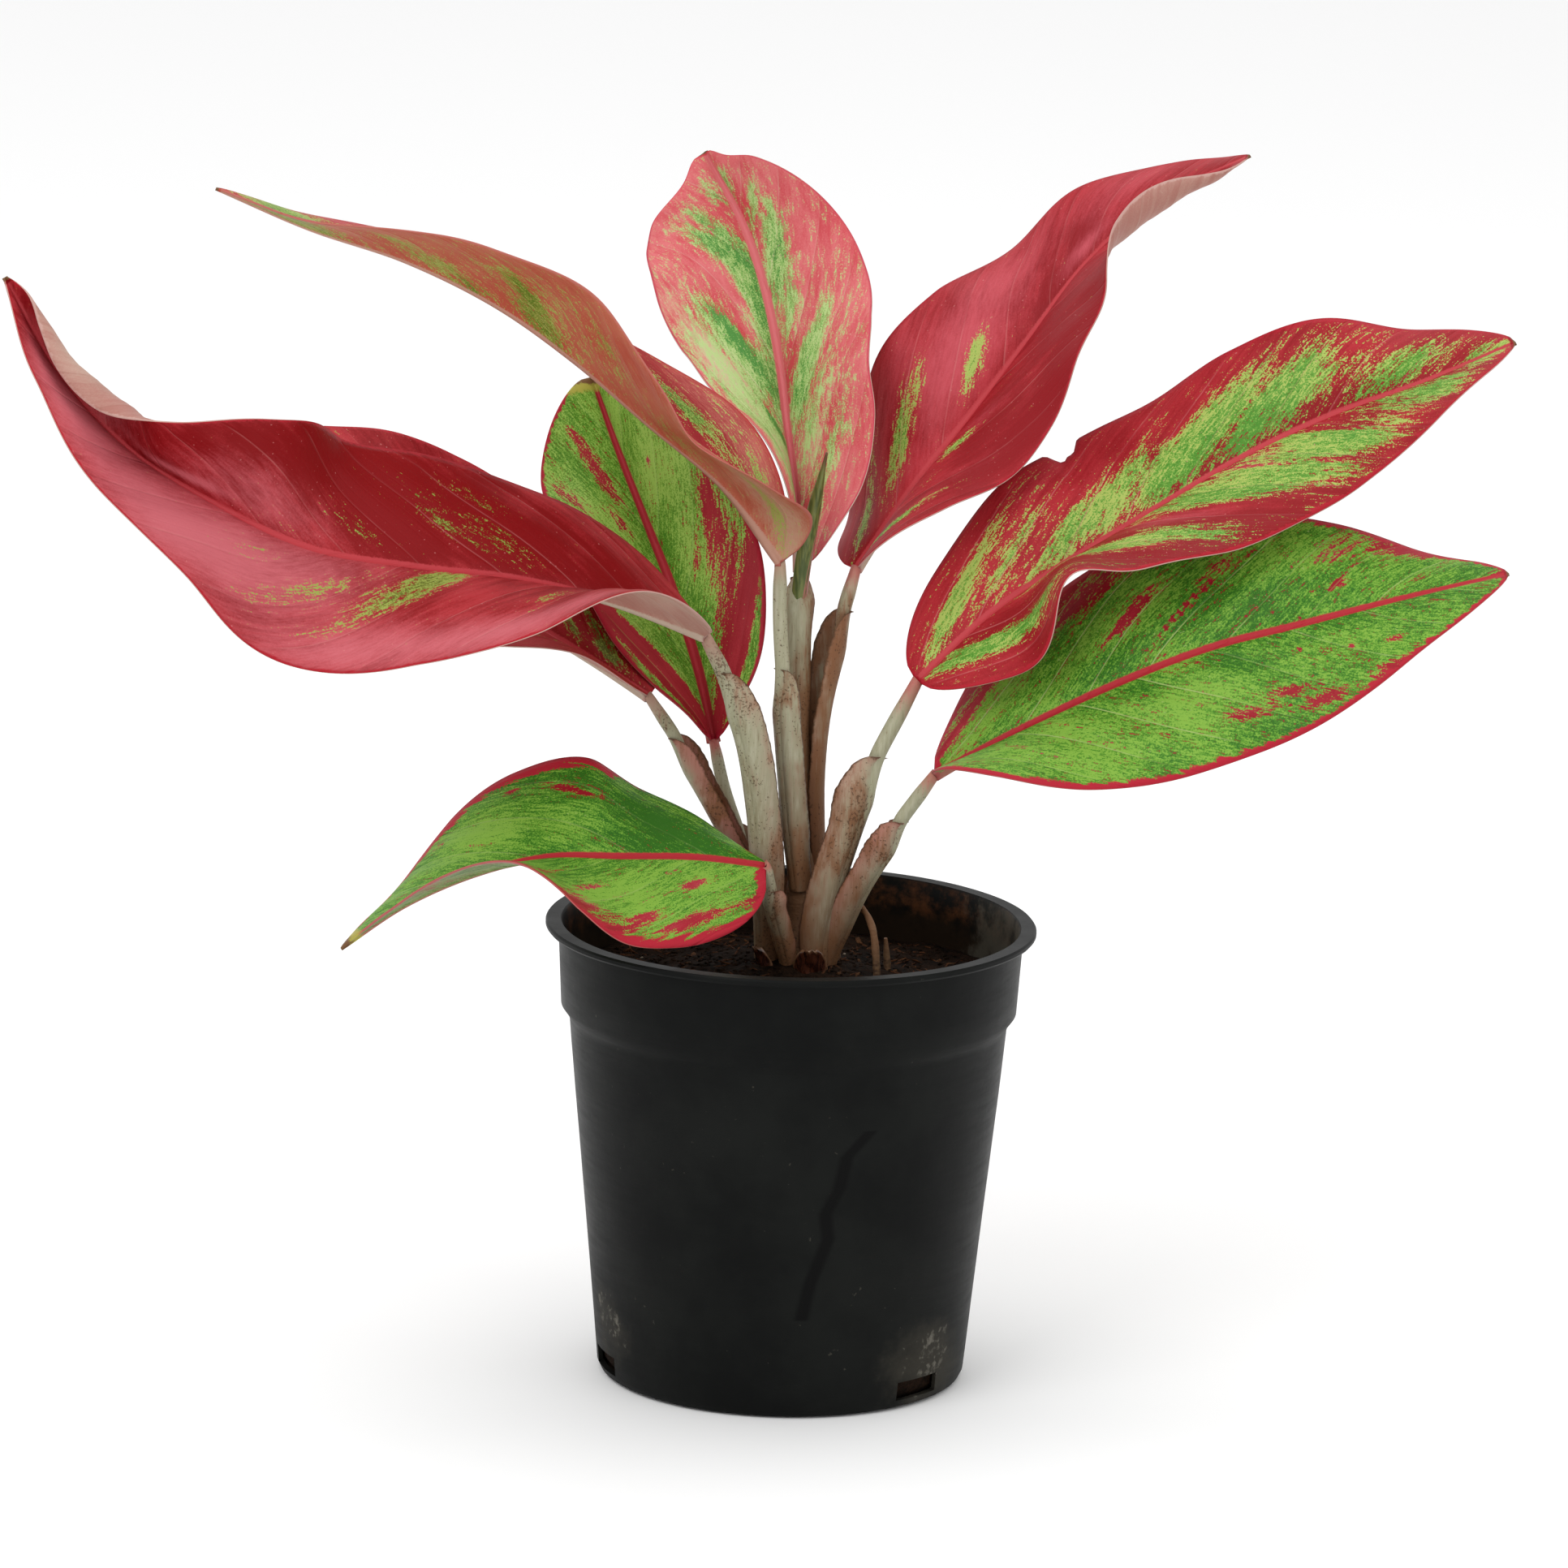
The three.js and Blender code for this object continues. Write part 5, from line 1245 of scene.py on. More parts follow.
# %% Geometry Nodes helper
class Rule:
    """A Geometry Nodes tree with named inputs, which starts from the points of a mesh."""
    KINDS = {float: "NodeSocketFloat", int: "NodeSocketInt", bpy.types.Material: "NodeSocketMaterial"}

    def __init__(self, name, **inputs):
        self.tree = bpy.data.node_groups.new(name, "GeometryNodeTree")
        interface = self.tree.interface
        interface.new_socket("Geometry", in_out="INPUT", socket_type="NodeSocketGeometry")
        interface.new_socket("Geometry", in_out="OUTPUT", socket_type="NodeSocketGeometry")
        self.identifiers = {}
        for key, kind in inputs.items():
            socket = interface.new_socket(key, in_out="INPUT", socket_type=self.KINDS[kind])
            self.identifiers[key] = socket.identifier
        self.given = self.tree.nodes.new("NodeGroupInput").outputs
        self.end = self.tree.nodes.new("NodeGroupOutput")

    def add(self, kind, *values, **settings):
        node = self.tree.nodes.new(kind)
        for key, value in settings.items():
            setattr(node, key, value)
        for socket, value in zip([s for s in node.inputs if s.enabled], values):
            if isinstance(value, bpy.types.NodeSocket):
                self.tree.links.new(value, socket)
            elif value is not None:
                socket.default_value = value
        return next(s for s in node.outputs if s.enabled)

    def math(self, operation, a, b=0.0):
        return self.add("ShaderNodeMath", a, b, operation=operation)

    def finish(self, geometry):
        plain = self.add("GeometryNodeRealizeInstances", geometry)
        painted = self.add("GeometryNodeSetMaterial", plain, None, self.given["Material"])
        self.tree.links.new(painted, self.end.inputs[0])

    def make(self, name, base, **values):
        """Runs the tree on the object base and keeps what it makes as a plain mesh."""
        modifier = base.modifiers.new("rule", "NODES")
        modifier.node_group = self.tree
        for key, value in values.items():
            modifier[self.identifiers[key]] = value
        graph = bpy.context.evaluated_depsgraph_get()
        mesh = bpy.data.meshes.new_from_object(base.evaluated_get(graph), depsgraph=graph)
        base.modifiers.clear()
        bpy.data.objects.remove(base)
        mesh.name = name
        return add_object(name, mesh)


def smooth_but_for_corners(piece, degrees=35):
    piece.data.shade_smooth()
    piece.data.set_sharp_from_angle(angle=math.radians(degrees))


print("kinds of input that a rule can have:", [kind.__name__ for kind in Rule.KINDS])

# %% [markdown]
# ## Outline of the pot
# A nursery pot is thin black plastic, drawn over a mould, with a collar above a step and a flat lip.
# Half of a cut through it, from the middle of the floor up the outside and down the inside, holds all
# of its shape. Long straights get more points, so that dents can show in them.

# %% Pot outline
POT_HEIGHT, RIM_RADIUS, COLLAR_RADIUS, STEP_HEIGHT = 141.5, 75.0, 71.0, 112.5
WALL, POT_FLOOR, BASE_RADIUS = 1.3, 2.0, 56.4
POT_OUTLINE = [
    [0, 0], [BASE_RADIUS - 3.5, 0], [BASE_RADIUS - 1, 1], [BASE_RADIUS, 3],
    [66.9, STEP_HEIGHT - 2], [67.5, STEP_HEIGHT], [69.7, STEP_HEIGHT + 3],
    [COLLAR_RADIUS, POT_HEIGHT - 3], [RIM_RADIUS - 0.6, POT_HEIGHT - 2.2],
    [RIM_RADIUS, POT_HEIGHT - 1.5], [RIM_RADIUS, POT_HEIGHT - 0.6], [RIM_RADIUS - 0.5, POT_HEIGHT],
    [COLLAR_RADIUS - WALL + 0.6, POT_HEIGHT], [COLLAR_RADIUS - WALL, POT_HEIGHT - 1],
    [69.7 - WALL, STEP_HEIGHT + 3], [67.5 - WALL, STEP_HEIGHT], [BASE_RADIUS - WALL, 4],
    [BASE_RADIUS - 3, POT_FLOOR], [0, POT_FLOOR]]
INNER_FROM_CORNER = 13


def refine(outline, longest=7.0):
    """Adds points to the long straights of an outline. Also says which points are on the inside."""
    points, inner = [], []
    for k, (here, there) in enumerate(zip(outline, outline[1:])):
        cuts = max(1, int(math.dist(here, there) / longest))
        for i in range(cuts):
            points.append([mix(here[0], there[0], i / cuts), 0, mix(here[1], there[1], i / cuts)])
            inner.append(float(k >= INNER_FROM_CORNER))
    points.append([outline[-1][0], 0, outline[-1][1]])
    inner.append(1.0)
    return points, inner


profile, inside = refine(POT_OUTLINE)
print("corners and points of the pot's outline:", len(POT_OUTLINE), "and", len(profile))

# %% [markdown]
# ## The turned pot
# The outline is turned round the axis, then three drain slots are cut through the foot. Handling
# leaves slight dents, which a soft noise pushes into the wall. A Screw modifier would turn it too, but
# in one tree the wall, the dents and the slots keep their sizes together under their names.

# %% Turned pot
SLOT_WIDTH, SLOT_BOTTOM, SLOT_TOP, SLOT_TURN = 17.5, 3.2, 9.0, 78.0
DRAIN_SLOTS = 3
SLOT_DEPTH = 0.012
SLOT_RADIUS = 57
POT_SIDES = 144
DENT_DEPTH = 1.1
DENT_SCALE = 14.0
ON_THE_AXIS = 0.05


def turned_pot_rule():
    rule = Rule("turned pot", Sides=int, Rows=int, Dent=float, Slot_Width=float, Slot_Height=float,
                Slot_Middle=float, Slot_Radius=float, Slot_Turn=float, Material=bpy.types.Material)
    given, add, number = rule.given, rule.add, rule.math
    columns = number("ADD", given["Sides"], 1)
    grid = add("GeometryNodeMeshGrid", 1.0, 1.0, columns, given["Rows"])
    index = add("GeometryNodeInputIndex")
    row = number("MODULO", index, given["Rows"])
    column = number("FLOOR", number("DIVIDE", number("ADD", index, 0.001), given["Rows"]))
    turn = number("MULTIPLY", number("DIVIDE", column, given["Sides"]), 2 * math.pi)
    sample = add("GeometryNodeSampleIndex", given["Geometry"], add("GeometryNodeInputPosition"), row,
                 data_type="FLOAT_VECTOR")
    inner = add("GeometryNodeSampleIndex", given["Geometry"],
                add("GeometryNodeInputNamedAttribute", "inner"), row)
    outline = rule.tree.nodes.new("ShaderNodeSeparateXYZ")
    rule.tree.links.new(sample, outline.inputs[0])
    radial = add("ShaderNodeCombineXYZ", number("COSINE", turn), number("SINE", turn), 0.0)
    place = add("ShaderNodeVectorMath", radial, outline.outputs["X"], operation="SCALE")
    height = add("ShaderNodeCombineXYZ", 0.0, 0.0, outline.outputs["Z"])
    place = add("ShaderNodeVectorMath", place, height, operation="ADD")
    dent = number("SUBTRACT", add("ShaderNodeTexNoise", place, DENT_SCALE, 2.0), 0.55)
    on_wall = number("GREATER_THAN", outline.outputs["X"], ON_THE_AXIS)
    sunk = number("MULTIPLY", number("MULTIPLY", dent, given["Dent"]), on_wall)
    push = add("ShaderNodeVectorMath", radial, sunk, operation="SCALE")
    body = add("GeometryNodeSetPosition", grid, None, place, push)
    body = add("GeometryNodeStoreNamedAttribute", body, None, "inner", inner)
    body = add("GeometryNodeMergeByDistance", body, None, 0.00001)
    slot_size = add("ShaderNodeCombineXYZ", SLOT_DEPTH, given["Slot_Width"], given["Slot_Height"])
    box = add("GeometryNodeMeshCube", slot_size)
    places = add("GeometryNodeMeshCircle", DRAIN_SLOTS, given["Slot_Radius"])
    share = number("MULTIPLY", add("GeometryNodeInputIndex"), 2 * math.pi / DRAIN_SLOTS)
    spin = add("ShaderNodeCombineXYZ", 0.0, 0.0, share)
    boxes = add("GeometryNodeInstanceOnPoints", places, None, box, None, None, spin)
    lift = add("ShaderNodeCombineXYZ", 0.0, 0.0, given["Slot_Middle"])
    whole_turn = add("ShaderNodeCombineXYZ", 0.0, 0.0, given["Slot_Turn"])
    boxes = add("GeometryNodeTransform", boxes, lift, whole_turn)
    boxes = add("GeometryNodeRealizeInstances", boxes)
    rule.finish(add("GeometryNodeMeshBoolean", body, boxes, operation="DIFFERENCE", solver="EXACT"))
    return rule


pot_rule = turned_pot_rule()
print("inputs of the pot's rule:", ", ".join(pot_rule.identifiers))

# %% [markdown]
# ## The wall of the pot
# Black plastic shows little colour of its own. What the eye reads is its soft sheen, and the dust, the
# lime and the dried drops that watering leaves low on the wall, most of all near the drain slots.
# Each of these is a noise with a threshold, which is quicker than a painted mask and has no seam.

# %% Wall of the pot
PLASTIC, WORN_PLASTIC = (0.0030, 0.0034, 0.0032), (0.0070, 0.0078, 0.0070)
DUST, LIME, DRIED_DROPS = (0.04, 0.036, 0.028), (0.15, 0.14, 0.115), (0.07, 0.065, 0.05)
LIME_SPOTS = [(-0.054, -0.022, 0.022), (0.045, -0.036, 0.014)]
LIME_SPREAD = 0.032


def wall_colour(paint, place, height, cloud, grit, splash):
    """Plastic under dust, lime and dried drops. Also says where the dust lies."""
    colour = paint.lay(PLASTIC, cloud, 0.35, 0.7, WORN_PLASTIC)
    low = paint.step(height, 0.05, 0.0)
    near_slots = 0.0
    for spot in LIME_SPOTS:
        away = paint.add("VectorMath", place, spot, operation="DISTANCE").outputs["Value"]
        near_slots = paint.number("MAXIMUM", near_slots, paint.step(away, LIME_SPREAD, 0.0))
    dust = paint.total((cloud, 0.6), (splash, 0.5), (low, 0.3), (near_slots, 0.5), -0.92)
    colour = paint.lay(colour, dust, 0.0, 0.4, DUST, 0.7)
    lime = paint.total((grit, 0.6), (splash, 0.9), (near_slots, 0.42), -0.42)
    colour = paint.lay(colour, lime, 0.72, 0.9, LIME, 0.7)
    drops = paint.total((grit, 1.0), (cloud, 0.3), -0.15)
    return paint.lay(colour, drops, 0.72, 0.77, DRIED_DROPS, 0.4), dust


print("spots of lime:", len(LIME_SPOTS))

# %% [markdown]
# ## Inside of the pot, and its crease
# Inside, above the soil, stands a rust brown crust, with a patch of grey mould at the right. The
# points keep a number that says which ones are inside. A crooked crease runs down the front: the
# material measures how far each place lies from a line through a few points, sinks that line with a
# bump and paints shade into it.

# %% Inside and crease
DARK_CRUST, RUST, MOULD = (0.016, 0.010, 0.006), (0.085, 0.032, 0.012), (0.075, 0.07, 0.055)
PAINTED_CREASE_SHADE = (0.0015, 0.0015, 0.0015)
CREASE = [(0.0255, 0.092), (0.0185, 0.084), (0.0165, 0.074), (0.0125, 0.066), (0.0135, 0.058),
          (0.0085, 0.044), (0.006, 0.032)]


def inside_colour(paint, axes, colour, grit, splash):
    """The crust above the soil, rusty in its upper half, and the mould at the far right."""
    inner, height = paint.attribute("inner"), axes.outputs["Z"]
    crumbled = paint.total((splash, 1.0), (grit, 0.5), (paint.step(height, 0.138, 0.118), 0.5), -0.75)
    crust = paint.product(inner, paint.step(crumbled, -0.12, 0.3))
    crust_colour = paint.lay(DARK_CRUST, paint.total(height, (splash, 0.012)), 0.136, 0.142, RUST)
    colour = paint.blend(crust, colour, crust_colour)
    far_right = paint.total(axes.outputs["X"], (splash, 0.02), -0.01)
    mould = paint.product(inner, paint.step(far_right, 0.054, 0.060, 0.0, 0.8),
                          paint.step(splash, 0.35, 0.6, 0.3, 1.0))
    return paint.blend(mould, colour, MOULD)


def crease_on_wall(paint, axes):
    """A crooked crease down the front of the wall: how deep each place lies in it."""
    crease = 0.0
    for (x0, z0), (x1, z1) in zip(CREASE, CREASE[1:]):
        down = paint.number("DIVIDE", paint.number("SUBTRACT", z0, axes.outputs["Z"]), z0 - z1)
        between = paint.number("COMPARE", down, 0.5, 0.5)
        middle = paint.number("MULTIPLY_ADD", down, x1 - x0, x0)
        aside = paint.number("ABSOLUTE", paint.number("SUBTRACT", axes.outputs["X"], middle))
        part = paint.product(between, paint.step(aside, 0.003, 0.001))
        crease = paint.number("MAXIMUM", crease, part)
    front = paint.number("LESS_THAN", axes.outputs["Y"], -0.03)
    return paint.product(crease, front, 0.9)


crease_length = sum(math.dist(*pair) for pair in zip(CREASE, CREASE[1:]))
print("length of the crease:", round(crease_length / MM), "mm")

# %% [markdown]
# ## The pot is made
# A few noises on Object coordinates serve colour, roughness and bump together, so what looks dusty is
# also rough. The scuffs run round the pot because their noise is packed along Z.

# %% Make the pot
def pot_material():
    paint = Paint("pot_plastic", specular=0.07)
    place = paint.place()
    axes = paint.add("SeparateXYZ", place)
    scuff = paint.noise(paint.scaled(place, 9), 55, 4, 0.65)
    cloud = paint.noise(place, 22, 4, 0.6)
    grit = paint.noise(place, 420, 3, 0.6)
    splash = paint.noise(place, 95, 4, 0.7)
    colour, dust = wall_colour(paint, place, axes.outputs["Z"], cloud, grit, splash)
    colour = inside_colour(paint, axes, colour, grit, splash)
    crease = crease_on_wall(paint, axes)
    # Painted shade in the crease: its line is painted darker than the plastic around it.
    colour = paint.blend(crease, colour, PAINTED_CREASE_SHADE)
    roughness = paint.total((scuff, 0.18), (dust, 0.2), (crease, -0.12), 0.42)
    bumps = paint.total((grit, 0.2), (scuff, 0.4), (splash, 0.3), (crease, -1.5))
    return paint.finish(colour, roughness, bumps, strength=0.25, distance=0.0005)


pot_line = make_object("pot_line", profile, [])
store(pot_line, inner=inside)
pot = pot_rule.make(
    "nursery_pot", pot_line, Sides=POT_SIDES, Rows=len(profile), Dent=DENT_DEPTH * MM,
    Slot_Width=SLOT_WIDTH * MM, Slot_Height=(SLOT_TOP - SLOT_BOTTOM) * MM,
    Slot_Middle=(SLOT_TOP + SLOT_BOTTOM) / 2 * MM, Slot_Radius=SLOT_RADIUS * MM,
    Slot_Turn=math.radians(SLOT_TURN), Material=pot_material())
make_outward(pot)
smooth_but_for_corners(pot)
finish_piece(pot, "pot_plastic", "pot")

# %% [markdown]
# ## Tubes along lines
# A short cane and its roots are tubes of many widths. Skin and Bevel could draw them, but neither
# roughens its skin. This rule draws a tube along every line it is given, with the radius that each
# point carries, and roughens the skin like bark.

# %% Tubes along lines
BARK_DEPTH = 0.7
TUBE_SIDES = 20


def tube_rule():
    rule = Rule("tubes along lines", Sides=int, Bark=float, Material=bpy.types.Material)
    given, add, number = rule.given, rule.add, rule.math
    lines = add("GeometryNodeMeshToCurve", given["Geometry"])
    ring = add("GeometryNodeCurvePrimitiveCircle", given["Sides"], 1.0)
    radius = add("GeometryNodeInputNamedAttribute", "radius")
    skin = add("GeometryNodeCurveToMesh", lines, ring, radius, True)
    rough = number("SUBTRACT", add("ShaderNodeTexNoise", None, 240.0, 3.0), 0.5)
    along = number("MULTIPLY", rough, given["Bark"])
    push = add("ShaderNodeVectorMath", add("GeometryNodeInputNormal"), along, operation="SCALE")
    rule.finish(add("GeometryNodeSetPosition", skin, None, None, push))
    return rule


cane_rule = tube_rule()
print("inputs of the tubes' rule:", ", ".join(cane_rule.identifiers))

# %% [markdown]
# ## Lines of the cane and the roots
# The cane is short, thick and corky at its foot. Five roots leave it below the soil, a fifth of a turn
# apart, so a loop draws them. One thin root arches over the soil before it goes in, and a stub stands
# beside it.

# %% Lines of the cane
CROWN = (4.0, 1.0)
STUB = [[30.2, 0.8, 119], [29.7, 0.6, 127], [29.4, 0.6, 132], [28.9, 0.4, 137]]


def cane_lines():
    """Points, edges and radii of the cane, its five roots, the arching root and a stub beside it."""
    x, y = CROWN
    cane = [[x, y, z] for z in (98, 107, 116, 125, 134, 143, 152, 158)]
    lines = [(cane, [5, 8.5, 11, 11.8, 10.8, 6.4, 5.6, 4.6], 60)]
    for i in range(5):
        turn = math.radians(25 + 72 * i)
        drop = 8 * (i % 3)
        path = [(2, 0, 106 + 2 * i), (16, 0.1, 98 - drop), (33, 0.3, 78 - drop), (44, 0.5, 46 - drop)]
        path = [[x + r * math.cos(turn + bend), y + r * math.sin(turn + bend), z] for r, bend, z in path]
        lines.append((path, [2.2, 1.9, 1.6, 1.1], 24))
    arch = [[x + 4, y, 138], [15, 1, 146], [20.5, -4, 148], [25, -9, 141], [27, -10.5, 122]]
    lines.append((arch, [1.2, 1.1, 1.0, 1.1, 1.2], 40))
    lines.append((STUB, [0.8, 1.1, 1.0, 0.5], 12))
    points, edges, radii = [], [], []
    for path, thick, steps in lines:
        t = np.linspace(0, 1, steps)
        first = len(points)
        points += curve_through(path, t).tolist()
        radii += curve_through(thick, t, free_ends=False).tolist()
        edges += [(first + i, first + i + 1) for i in range(steps - 1)]
    return points, edges, radii


points, edges, radii = cane_lines()
print("points on the lines of the cane and the roots:", len(points))

# %% [markdown]
# ## The cane is made
# Below the soil line the cane is corky brown, and above it the cane wears the remains of its oldest
# sheaths, so it borrows their colour. The height of each place decides which of the two shows.

# %% Make the cane
DARK_CORK, LIGHT_CORK = (0.045, 0.022, 0.011), (0.17, 0.095, 0.045)


def cane_material():
    """Corky brown below the soil line, and the colour of an old sheath above it."""
    paint = Paint("cane", specular=0.25)
    place = paint.place()
    bark = paint.noise(paint.scaled(place, 2.5), 260, 4, 0.65)
    height = paint.add("SeparateXYZ", place).outputs["Z"]
    cork = paint.lay(DARK_CORK, bark, 0.35, 0.65, LIGHT_CORK)
    sheath = sheath_colour(paint, place, 0.35, 0.3, 0.3, 0.2)[0]
    colour = paint.lay(cork, height, 0.130, 0.138, sheath)
    return paint.finish(colour, 0.66, bark, strength=0.6, distance=0.0008)


cane_base = make_object("cane_lines", points, edges=edges)
store(cane_base, radius=np.array(radii) * MM)
cane = cane_rule.make("cane_and_roots", cane_base, Sides=TUBE_SIDES, Bark=BARK_DEPTH * MM,
                      Material=cane_material())
make_outward(cane)
smooth_but_for_corners(cane, 60)
finish_piece(cane, "cane", "cane_with_roots")

# %% [markdown]
# ## Husks
# Two dry scales, all that is left of the first leaves, stand at the foot of the crown. A scale is a
# small curled shield, glossy brown and thin enough at the margin to look pale. A bent sheet with a
# Solidify modifier would be as thick at its margin as in its middle, so both faces are worked out here.

# %% Husks
HUSK_RINGS, HUSK_STEPS = 24, 12
HUSK_DARK, HUSK_LIGHT, HUSK_EDGE = (0.016, 0.004, 0.0025), (0.055, 0.015, 0.007), (0.17, 0.085, 0.045)


def make_husk(name, centre, turn_degrees, width, height, material):
    t = np.linspace(0, 1, HUSK_RINGS)[:, None]
    u = np.linspace(-1, 1, 2 * HUSK_STEPS + 1)[None, :]
    half = width / 2 * np.sqrt(1 - 0.85 * t * t)
    curl = -3 * t * t + 2.2 * u * u + 0.25 * np.sin(6 * u + 7 * t)
    wall = mix(0.9, 0.3, np.maximum(np.abs(u), t) ** 2)
    jag = 0.35 * np.sin(9 * u + centre[0]) * t ** 4
    outer = np.stack([u * half, curl - wall, height * t + jag], -1)
    inner = np.stack([u * half, curl, height * t + jag], -1)
    rings = np.concatenate([outer, inner[:, ::-1]], 1)
    turn = math.radians(turn_degrees)
    spin = np.array([[math.cos(turn), -math.sin(turn), 0], [math.sin(turn), math.cos(turn), 0], [0, 0, 1]])
    piece = make_object(name, (rings @ spin.T + np.array(centre)).reshape(-1, 3),
                        ring_faces(HUSK_RINGS, rings.shape[1]))
    make_outward(piece)
    rim = np.maximum(np.abs(u), t) + 0 * half
    store(piece, rim=np.concatenate([rim, rim[:, ::-1]], 1))
    piece.data.materials.append(material)
    return piece


def husk_material():
    paint = Paint("husk", specular=0.5)
    grain = paint.noise(paint.scaled(paint.place(), 0.3), 900, 3)
    colour = paint.lay(HUSK_DARK, grain, 0.35, 0.65, HUSK_LIGHT)
    worn = paint.total(paint.attribute("rim"), (grain, 0.2), -0.1)
    colour = paint.lay(colour, worn, 0.86, 1.0, HUSK_EDGE)
    return paint.finish(colour, 0.24, grain, strength=0.4, distance=0.0004)


husk_paint = husk_material()
finish_piece(make_husk("scale_front", [6, -15.5, 129], 0, 11, 8, husk_paint), "husk", "husk_front")
finish_piece(make_husk("scale_left", [-9, -11.5, 129], -50, 6.5, 7.5, husk_paint), "husk", "husk_left")

# %% [markdown]
# ## Soil
# The potting soil is a low mound that rises to the crown. A displaced disc would need a texture for
# each lump, so its top is the height rule of the packed model with small clods on it, and its side and
# floor follow the inside of the pot.

# %% Soil
SOIL_RINGS = 62
SOIL_SIDES = 180
SOIL_RADIUS = 68.25


def soil_height(x, y):
    r = np.hypot(x, y)
    mound = 8.3 * (0.5 + 0.5 * np.cos(np.pi * np.minimum(1, r / 60)))
    foot = 2 * np.exp(-(np.hypot(x - CROWN[0], y - CROWN[1]) / 15) ** 2)
    broad = 0.7 * np.sin(x * 0.21 + 1) * np.cos(y * 0.17)
    lumps = broad + 0.4 * np.sin(y * 0.33 + x * 0.12)
    return 122.5 + mound + foot + lumps * np.minimum(1, r / 15)


def clods(x, y):
    """Small unevenness, from two sizes of noise."""
    heights = [0.55 * noise.noise(Vector((a / 4.5, b / 4.5, 0.5)))
               + 0.35 * noise.noise(Vector((a / 1.8, b / 1.8, 4.5))) for a, b in zip(x.ravel(), y.ravel())]
    return np.array(heights).reshape(x.shape)


def make_soil(material):
    radii = np.linspace(0.6, SOIL_RADIUS, SOIL_RINGS)
    turn = np.arange(SOIL_SIDES) / SOIL_SIDES * 2 * np.pi
    x, y = radii[:, None] * np.cos(turn), radii[:, None] * np.sin(turn)
    top = np.stack([x, y, soil_height(x, y) + clods(x, y)], -1)
    wall = [(66 - FIT, STEP_HEIGHT), (BASE_RADIUS - WALL - 2 * FIT, 5),
            (BASE_RADIUS - 3.5 - FIT, POT_FLOOR + FIT)]
    skirt = [np.stack([r * np.cos(turn), r * np.sin(turn), z + 0 * turn], -1) for r, z in wall]
    rings = np.concatenate([top, np.array(skirt)])
    piece = make_object("potting_soil", rings.reshape(-1, 3), ring_faces(len(rings), SOIL_SIDES))
    make_outward(piece)
    piece.data.materials.append(material)
    return piece, top


print("height of the soil at the crown:", round(float(soil_height(*CROWN)), 1), "mm")

# %% [markdown]
# ## Soil finish
# Moist peat is nearly black and has no shine. Two noises, one as fine as its crumbs and one as broad as
# its clods, pick between two browns, and the finer one is also its bump.

# %% Soil finish
PEAT_DARK, PEAT_LIGHT = (0.003, 0.002, 0.0014), (0.018, 0.009, 0.005)


def soil_material(name, dark, light, roughness=0.9):
    paint = Paint(name, specular=0.06)
    place = paint.place()
    crumbs = paint.noise(place, 520, 4, 0.7)
    cloud = paint.noise(place, 110, 3)
    colour = paint.lay(dark, paint.total((crumbs, 0.7), (cloud, 0.4)), 0.38, 0.68, light)
    return paint.finish(colour, roughness, crumbs, strength=0.8, distance=0.001)


soil, soil_rings = make_soil(soil_material("soil", PEAT_DARK, PEAT_LIGHT))
finish_piece(soil, "soil", "soil")

# %% [markdown]
# ## A rule that strews grains
# Thousands of loose grains could be strewn by a particle system. A rule does it with a fixed seed and
# leaves a plain mesh. It puts one small ball of twenty faces at each spot, stretched and turned at
# random, so that no two grains look alike.

# %% Strewing rule
def strewn_rule():
    rule = Rule("strewn grains", Density=float, Long=float, Wide=float, Seed=int,
                Material=bpy.types.Material)
    given, add, number = rule.given, rule.add, rule.math
    spots = add("GeometryNodeDistributePointsOnFaces", given["Geometry"], None, given["Density"],
                given["Seed"])
    grain = add("GeometryNodeMeshIcoSphere", 0.5, 1)
    tilt = add("FunctionNodeRandomValue", (-0.5, -0.5, 0.0), (0.5, 0.5, 6.28), None, given["Seed"],
               data_type="FLOAT_VECTOR")
    size = add("FunctionNodeRandomValue", 0.45, 1.0, None, number("ADD", given["Seed"], 7))
    narrow = number("MULTIPLY", size, given["Wide"])
    shape = add("ShaderNodeCombineXYZ", number("MULTIPLY", size, given["Long"]), narrow,
                number("MULTIPLY", narrow, 0.7))
    rule.finish(add("GeometryNodeInstanceOnPoints", spots, None, grain, None, None, tilt, shape))
    return rule


strewn = strewn_rule()
print("inputs of the strewing rule:", ", ".join(strewn.identifiers))

# %% [markdown]
# ## What lies on the soil
# Crumbs of peat, bark fibres, bark chips and a few pale grains lie on the soil. One rule strews all
# four, on a ground that stops short of the wall, so that no grain sticks into the pot. Each row gives
# how many grains fall on a square metre, the greatest length and width of one in millimetres, the seed
# of its random draws, and its darkest and lightest colour.

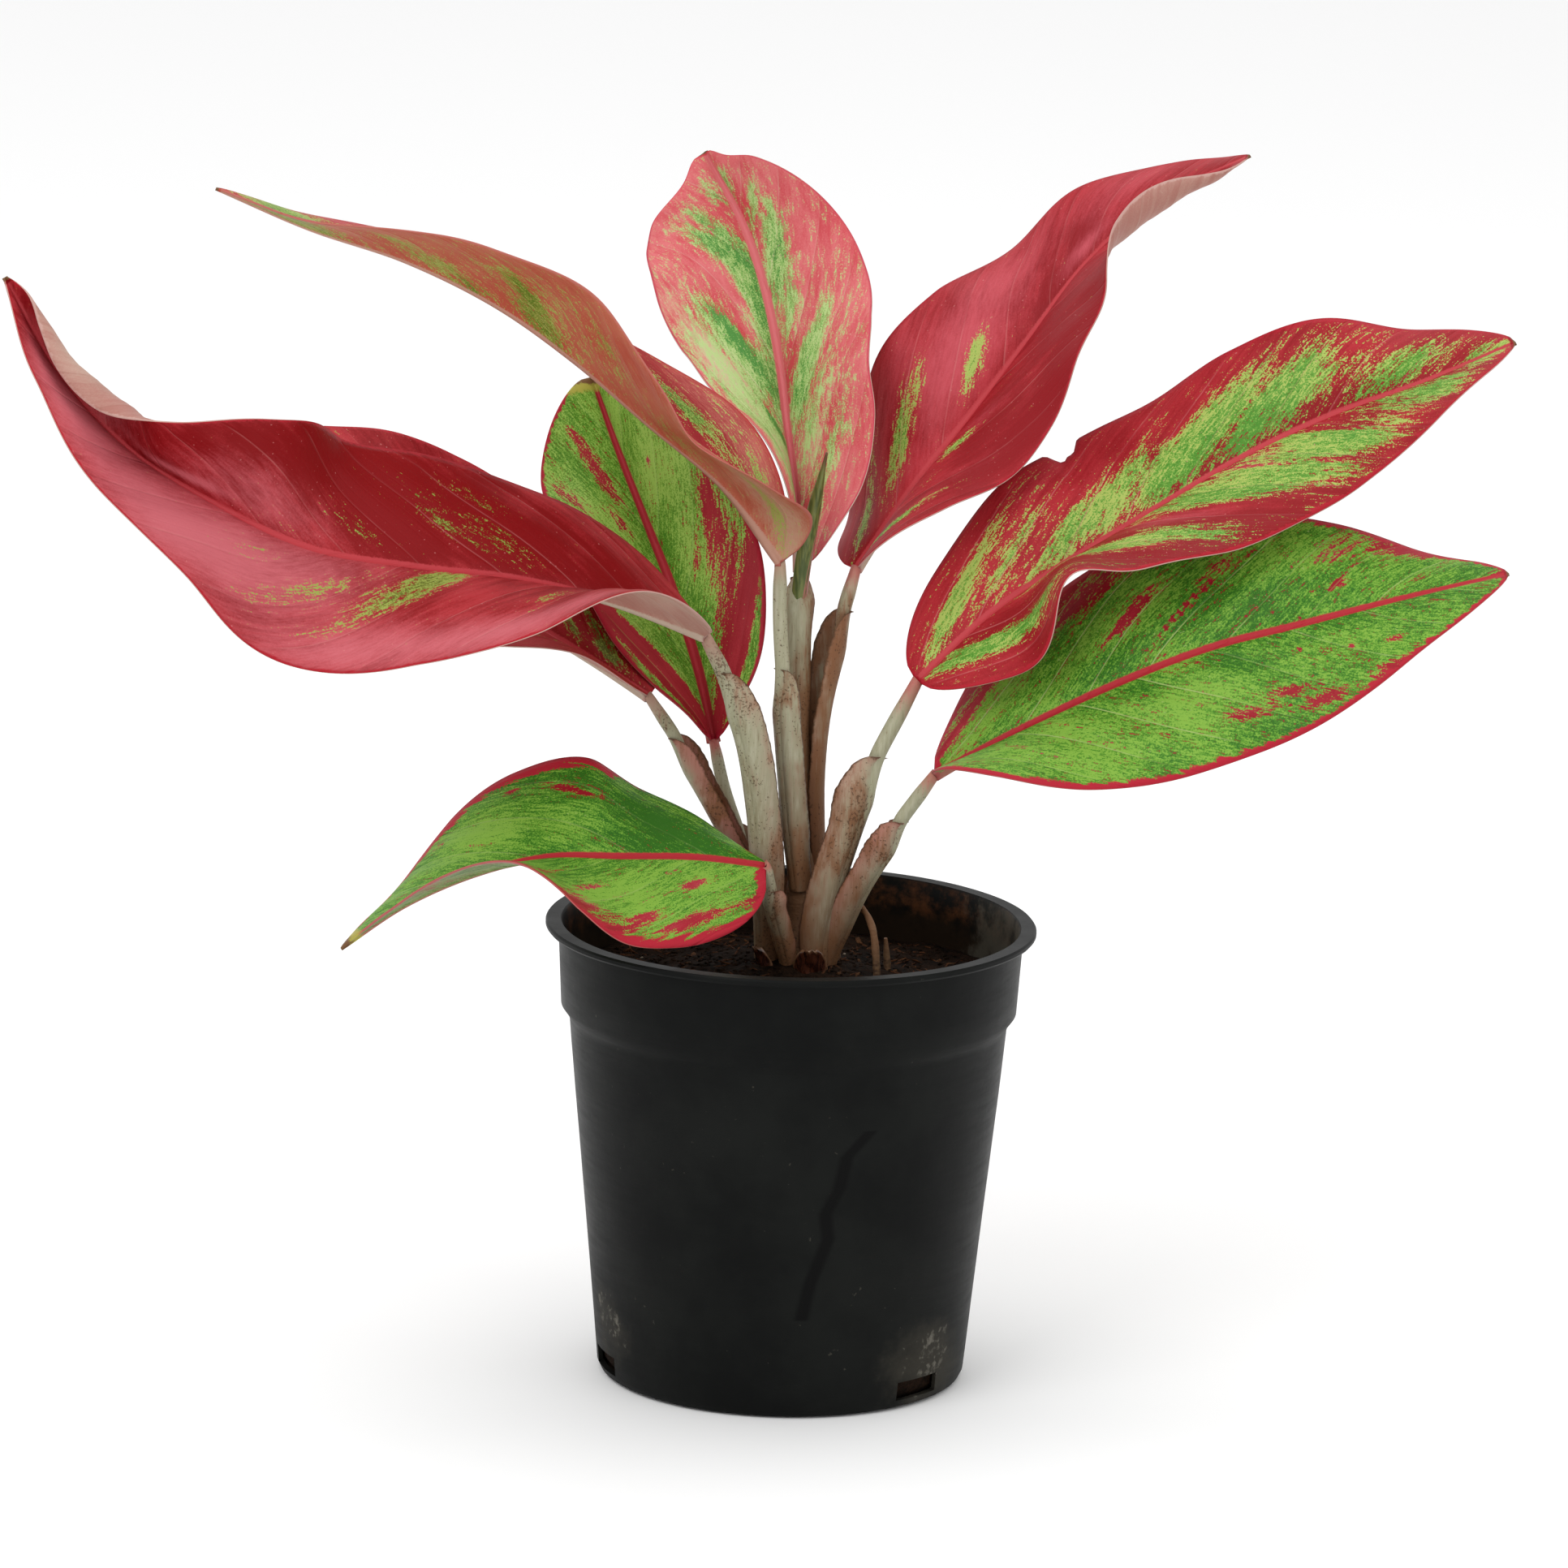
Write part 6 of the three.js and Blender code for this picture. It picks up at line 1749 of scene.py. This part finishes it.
# %% Crumbs, fibres, chips and grit
GRAINS = {
    "soil_crumbs": (110000.0, 2.6, 1.8, 3, PEAT_DARK, (0.022, 0.011, 0.006)),
    "soil_fibres": (30000.0, 8.0, 1.1, 11, (0.010, 0.0045, 0.0025), (0.09, 0.036, 0.016)),
    "bark_chips": (5000.0, 6.0, 2.4, 41, (0.02, 0.009, 0.005), (0.12, 0.055, 0.025)),
    "soil_grit": (1500.0, 1.5, 1.2, 29, (0.14, 0.1, 0.07), (0.30, 0.25, 0.2)),
}
STREWN_RINGS = 59
open_faces = ring_faces(STREWN_RINGS, SOIL_SIDES)[:-2]
soil_top = make_object("soil_top", soil_rings[:STREWN_RINGS].reshape(-1, 3), open_faces)
for name, (density, long, wide, seed, dark, light) in GRAINS.items():
    ground = add_object("ground", soil_top.data.copy())
    grains = strewn.make(name, ground, Density=density, Long=long * MM, Wide=wide * MM, Seed=seed,
                         Material=soil_material(name, dark, light, 0.85))
    finish_piece(grains, "soil")
bpy.data.objects.remove(soil_top)

# %% [markdown]
# ## Light and floor
# A wide white sky and three large soft lamps give the even light of the photograph: bright from above
# and the left, weak shadows under the leaves. The floor is plain and pale.

# %% Light and floor
LAMPS = {"key": ((-1.1, -1.5, 2.0), 1.3, 18), "fill": ((1.7, -1.4, 1.1), 1.6, 5),
         "top": ((0.2, 0.7, 2.3), 1.6, 11)}
LAMPS_AIM = Vector((0, 0, 0.2))
SKY_STRENGTH = 0.95
FLOOR_REACH = 9000
FLOOR_COLOUR = (0.93, 0.93, 0.93)


def add_lamp(name, place, size, power):
    lamp = bpy.data.lights.new(name, "AREA")
    lamp.size = size
    lamp.energy = power
    stand = add_object(name, lamp)
    stand.location = place
    stand.rotation_euler = (LAMPS_AIM - Vector(place)).to_track_quat("-Z", "Y").to_euler()


corners = [[x * FLOOR_REACH, y * FLOOR_REACH, 0] for x, y in ((-1, -1), (1, -1), (1, 1), (-1, 1))]
floor = make_object("floor", corners, [(0, 1, 2, 3)], smooth=False)
floor.data.materials.append(Paint("floor", roughness=0.8, specular=0.2).finish(FLOOR_COLOUR))
world = bpy.data.worlds.new("sky")
world.use_nodes = True
world.node_tree.nodes["Background"].inputs["Color"].default_value = (1.0, 1.0, 1.0, 1)
world.node_tree.nodes["Background"].inputs["Strength"].default_value = SKY_STRENGTH
scene.world = world
for name, (place, size, power) in LAMPS.items():
    add_lamp(name, place, size, power)
scene.view_settings.view_transform = "Standard"
print("lamps:", ", ".join(LAMPS))

# %% [markdown]
# ## The end
